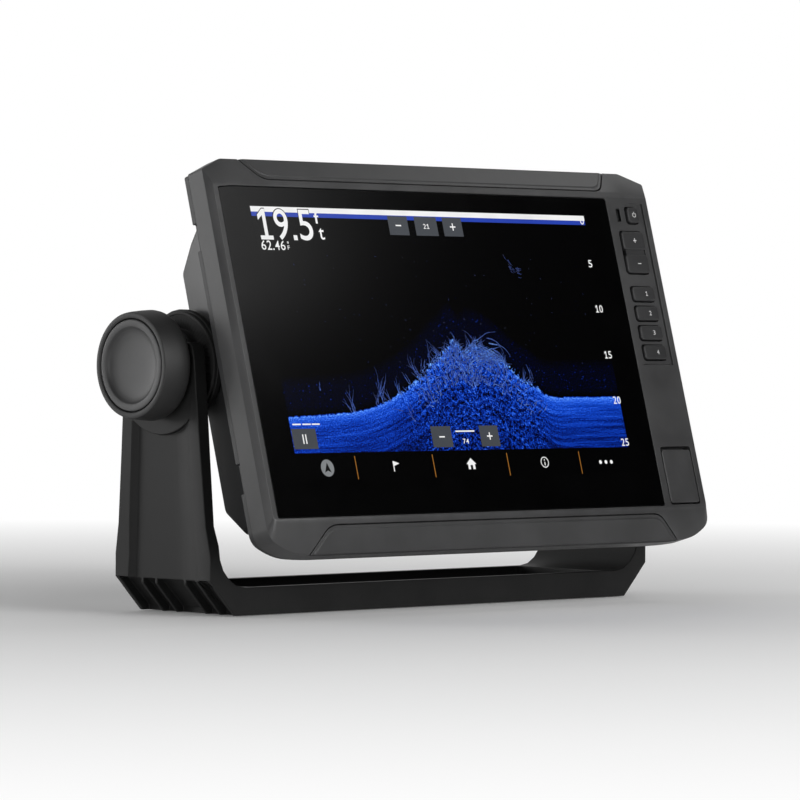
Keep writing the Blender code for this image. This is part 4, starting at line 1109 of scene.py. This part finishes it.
def arm_recess(side):
    """The sunken panel in an arm's outer face: a bevel at the rear, a slow ramp at the front."""
    profile = [(0.0242, 0.1316), (0.0192, 0.1274), (-0.0060, 0.1274), (-0.0100, 0.12748), (-0.0140, 0.12775),
               (-0.0180, 0.1283), (-0.0215, 0.1291), (-0.0245, 0.1301), (-0.0268, 0.1316)]
    rings = []
    for height in (0.0100, 0.0368, 0.065, 0.080, 0.1005):
        narrow = arm_half_depth(height) / (BASE_DEPTH / 2)
        shift = arm_outer(max(height, BASE_TOP)) - ARM_FOOT_OUTER
        rings.append([(side * (x + shift), y * narrow, height) for y, x in profile])
    boss = bar(circle(BOSS_RADIUS, (0.0, PIVOT_HEIGHT), 72), *sorted((side * 0.120, side * 0.140)))
    return cut(loft(rings), boss)


# The pockets between the ribs under each arm, from front to rear.
POCKETS = [(-0.0280, -0.0213), (-0.0197, -0.0126), (-0.0110, 0.0056), (0.0072, 0.0144), (0.0160, 0.0275)]


def corner_pocket(side, low, high):
    outline = [(0.1320, 0.0142), (0.1252, 0.0142), (0.1236, 0.0132), (0.1216, 0.0112), (0.1130, 0.0025),
               (0.1130, -0.001), (0.1320, -0.001)]
    return loft([[(side * x, y, z) for x, z in outline] for y in (low, high)])


def bail_bracket():
    half = []
    for z, depth in ((0.1120, 0.0190), (0.1104, 0.0204), (0.1055, 0.0217),
                     (ARM_SHOULDER, arm_half_depth(ARM_SHOULDER))):
        half.append(((arm_outer(z), z), (0.1256, z), depth))
    for z in (0.080, 0.065, 0.0368):
        half.append(((arm_outer(z), z), (0.1255, z), arm_half_depth(z)))
    deep = BASE_DEPTH / 2
    half += [((ARM_FOOT_OUTER, 0.0240), (0.1250, 0.0290), deep),
             ((ARM_FOOT_OUTER, BASE_TOP), (0.1242, 0.0232), deep),
             ((0.1270, 0.0117), (0.1224, 0.0188), deep), ((0.1235, 0.0079), (0.1192, 0.0150), deep),
             ((0.1200, 0.0042), (0.1150, 0.0124), deep), ((0.1160, 0.0), (0.1100, 0.0115), deep)]
    mirror = [((-outer[0], outer[1]), (-inner[0], inner[1]), depth) for outer, inner, depth in reversed(half)]
    rings = []
    for outer, inner, depth in half + mirror:
        rings.append([(outer[0], -depth, outer[1]), (outer[0], depth, outer[1]),
                      (inner[0], depth, inner[1]), (inner[0], -depth, inner[1])])
    bracket = loft(rings)
    channel = post(rectangle(-0.106, 0.106, -0.0262, 0.0262, radius=0.003), 0.0045, 0.02)
    bosses = [post(circle(0.0075, (x, 0.0), 40), 0.004, 0.0085) for x in BASE_SCREWS_X]
    bracket = combine(cut(bracket, channel), bosses, "UNION")
    cutters = [post(circle(0.0027, (x, 0.0), 24), -0.01, 0.02) for x in BASE_SCREWS_X]
    cutters += [post(circle(0.0050, (x, 0.0), 32), 0.0066, 0.02) for x in BASE_SCREWS_X]
    for side in (-1, 1):
        cutters.append(bar(circle(0.0046, (0.0, PIVOT_HEIGHT), 40), *sorted((side * 0.120, side * 0.136))))
        cutters.append(arm_recess(side))
        cutters += [corner_pocket(side, low, high) for low, high in POCKETS]
    return cut(bracket, *cutters)


add_piece("bracket_moulded", bail_bracket(), BRACKET, "bracket", ("bail_bracket",), False,
          edge=0.00045)


# ---------------------------------------------------------------- cradle and its fittings

for node_name, finish, body, slot, edge in (
        ("cradle", BRACKET, "cradle", "bracket_moulding", 0.0005),
        ("release_lever", TRIM, "release_lever", "charcoal_moulding", 0.0005),
        ("cradle_connector", SEAL, "cradle", "black_rubber", 0.0002),
        *[(name, SEAL, "cradle", "black_rubber", 0.0) for name in
          ("power_socket", "transducer_socket", "network_socket_1", "network_socket_2")],
        *[("socket_cap_%d" % number, SEAL, "cradle", "black_rubber", 0.0004) for number in range(1, 5)],
        ("unit_connector", SEAL, UNIT, "black_rubber", 0.0003)):
    refined(node_name, finish, body, edge)
for number in range(1, 7):
    refined("housing_screw_%d" % number, STEEL, UNIT, 0.0)


# ---------------------------------------------------------------- floor, light and camera

def soft_box(name, place, aim, width, height, power):
    light = bpy.data.lights.new(name, "AREA")
    light.shape = "RECTANGLE"
    light.size = width
    light.size_y = height
    light.energy = power
    holder = bpy.data.objects.new(name, light)
    holder.location = place
    holder.rotation_euler = (Vector(aim) - Vector(place)).to_track_quat("-Z", "Y").to_euler()
    bpy.context.scene.collection.objects.link(holder)


def add_floor():
    """A pale floor that brightens into the white surround well away from the object."""
    material, tree, shader, place = new_material("pale_floor")
    soft = node(tree, "ShaderNodeTexNoise", Vector=place, Scale=3.0, Detail=3.0).outputs["Fac"]
    near = mix_colour(tree, remap(tree, soft, 0.3, 0.7), (0.84, 0.84, 0.84, 1.0), (0.88, 0.88, 0.88, 1.0))
    reach = node(tree, "ShaderNodeVectorMath", {"operation": "LENGTH"}, Vector=place).outputs["Value"]
    away = remap(tree, reach, 0.14, 0.90)
    tree.links.new(mix_colour(tree, away, near, (0.0, 0.0, 0.0, 1.0)), shader.inputs["Base Color"])
    tree.links.new(mix_colour(tree, away, (0.10, 0.10, 0.10, 1.0), (1.0, 1.0, 1.0, 1.0)),
                   shader.inputs["Emission Color"])
    shader.inputs["Emission Strength"].default_value = 1.0
    shader.inputs["Roughness"].default_value = 0.9
    shader.inputs["Specular IOR Level"].default_value = 0.0
    mesh = bpy.data.meshes.new("floor")
    shape = bmesh.new()
    bmesh.ops.create_circle(shape, cap_ends=True, segments=64, radius=6.0)
    shape.to_mesh(mesh)
    shape.free()
    mesh.materials.append(material)
    floor = bpy.data.objects.new("floor", mesh)
    floor.location = (0.0, 0.0, -0.0004)
    bpy.context.scene.collection.objects.link(floor)


def add_surround():
    """A white surround to look at, which lights the object from behind and leaves its front dark."""
    world = bpy.data.worlds.new("studio")
    bpy.context.scene.world = world
    world.use_nodes = True
    tree = world.node_tree
    tree.nodes.clear()
    direction = node(tree, "ShaderNodeTexCoord").outputs["Generated"]
    behind = node(tree, "ShaderNodeSeparateXYZ", Vector=direction).outputs["Y"]
    glow = remap(tree, behind, -0.1, 0.7, 0.012, 0.62)
    seen = node(tree, "ShaderNodeBackground", Color=(1.0, 1.0, 1.0, 1.0), Strength=1.0)
    dim = node(tree, "ShaderNodeBackground", Color=(1.0, 1.0, 1.0, 1.0), Strength=glow)
    path = node(tree, "ShaderNodeLightPath")
    mixed = node(tree, "ShaderNodeMixShader", i0=path.outputs["Is Camera Ray"])
    tree.links.new(dim.outputs[0], mixed.inputs[1])
    tree.links.new(seen.outputs[0], mixed.inputs[2])
    output = tree.nodes.new("ShaderNodeOutputWorld")
    tree.links.new(mixed.outputs[0], output.inputs["Surface"])


add_floor()
add_surround()
MIDDLE = (0.0, 0.0, 0.09)
soft_box("top_right_light", (0.62, -0.10, 0.66), (0.12, 0.0, 0.15), 0.26, 0.30, 0.45)
soft_box("left_rear_light", (-1.05, 1.80, 0.10), MIDDLE, 0.8, 0.9, 13.0)
soft_box("left_front_light", (-1.75, -0.85, 0.16), MIDDLE, 0.4, 1.0, 10.0)
soft_box("front_light", (0.25, -1.90, 0.75), MIDDLE, 0.8, 1.0, 20.0)
soft_box("glass_glare_light", (0.36, -0.59, 0.56), (-0.08, 0.0, 0.13), 0.24, 0.24, 0.32)

bpy.context.scene.view_settings.view_transform = "Standard"

camera = bpy.data.objects.new("camera", bpy.data.cameras.new("camera"))
camera.data.sensor_width = 36.0
camera.data.lens = 210.08
camera.location = (-1.3930, -1.4527, 0.1162)
AIM = Vector((0.00585, 0.0, 0.08731))
look = (AIM - camera.location).to_track_quat("-Z", "Y").to_matrix()
roll = Matrix.Rotation(math.radians(0.27), 3, "Z")
camera.rotation_euler = (look @ roll).to_euler()
camera.data.clip_end = 50.0
bpy.context.scene.collection.objects.link(camera)
bpy.context.scene.camera = camera
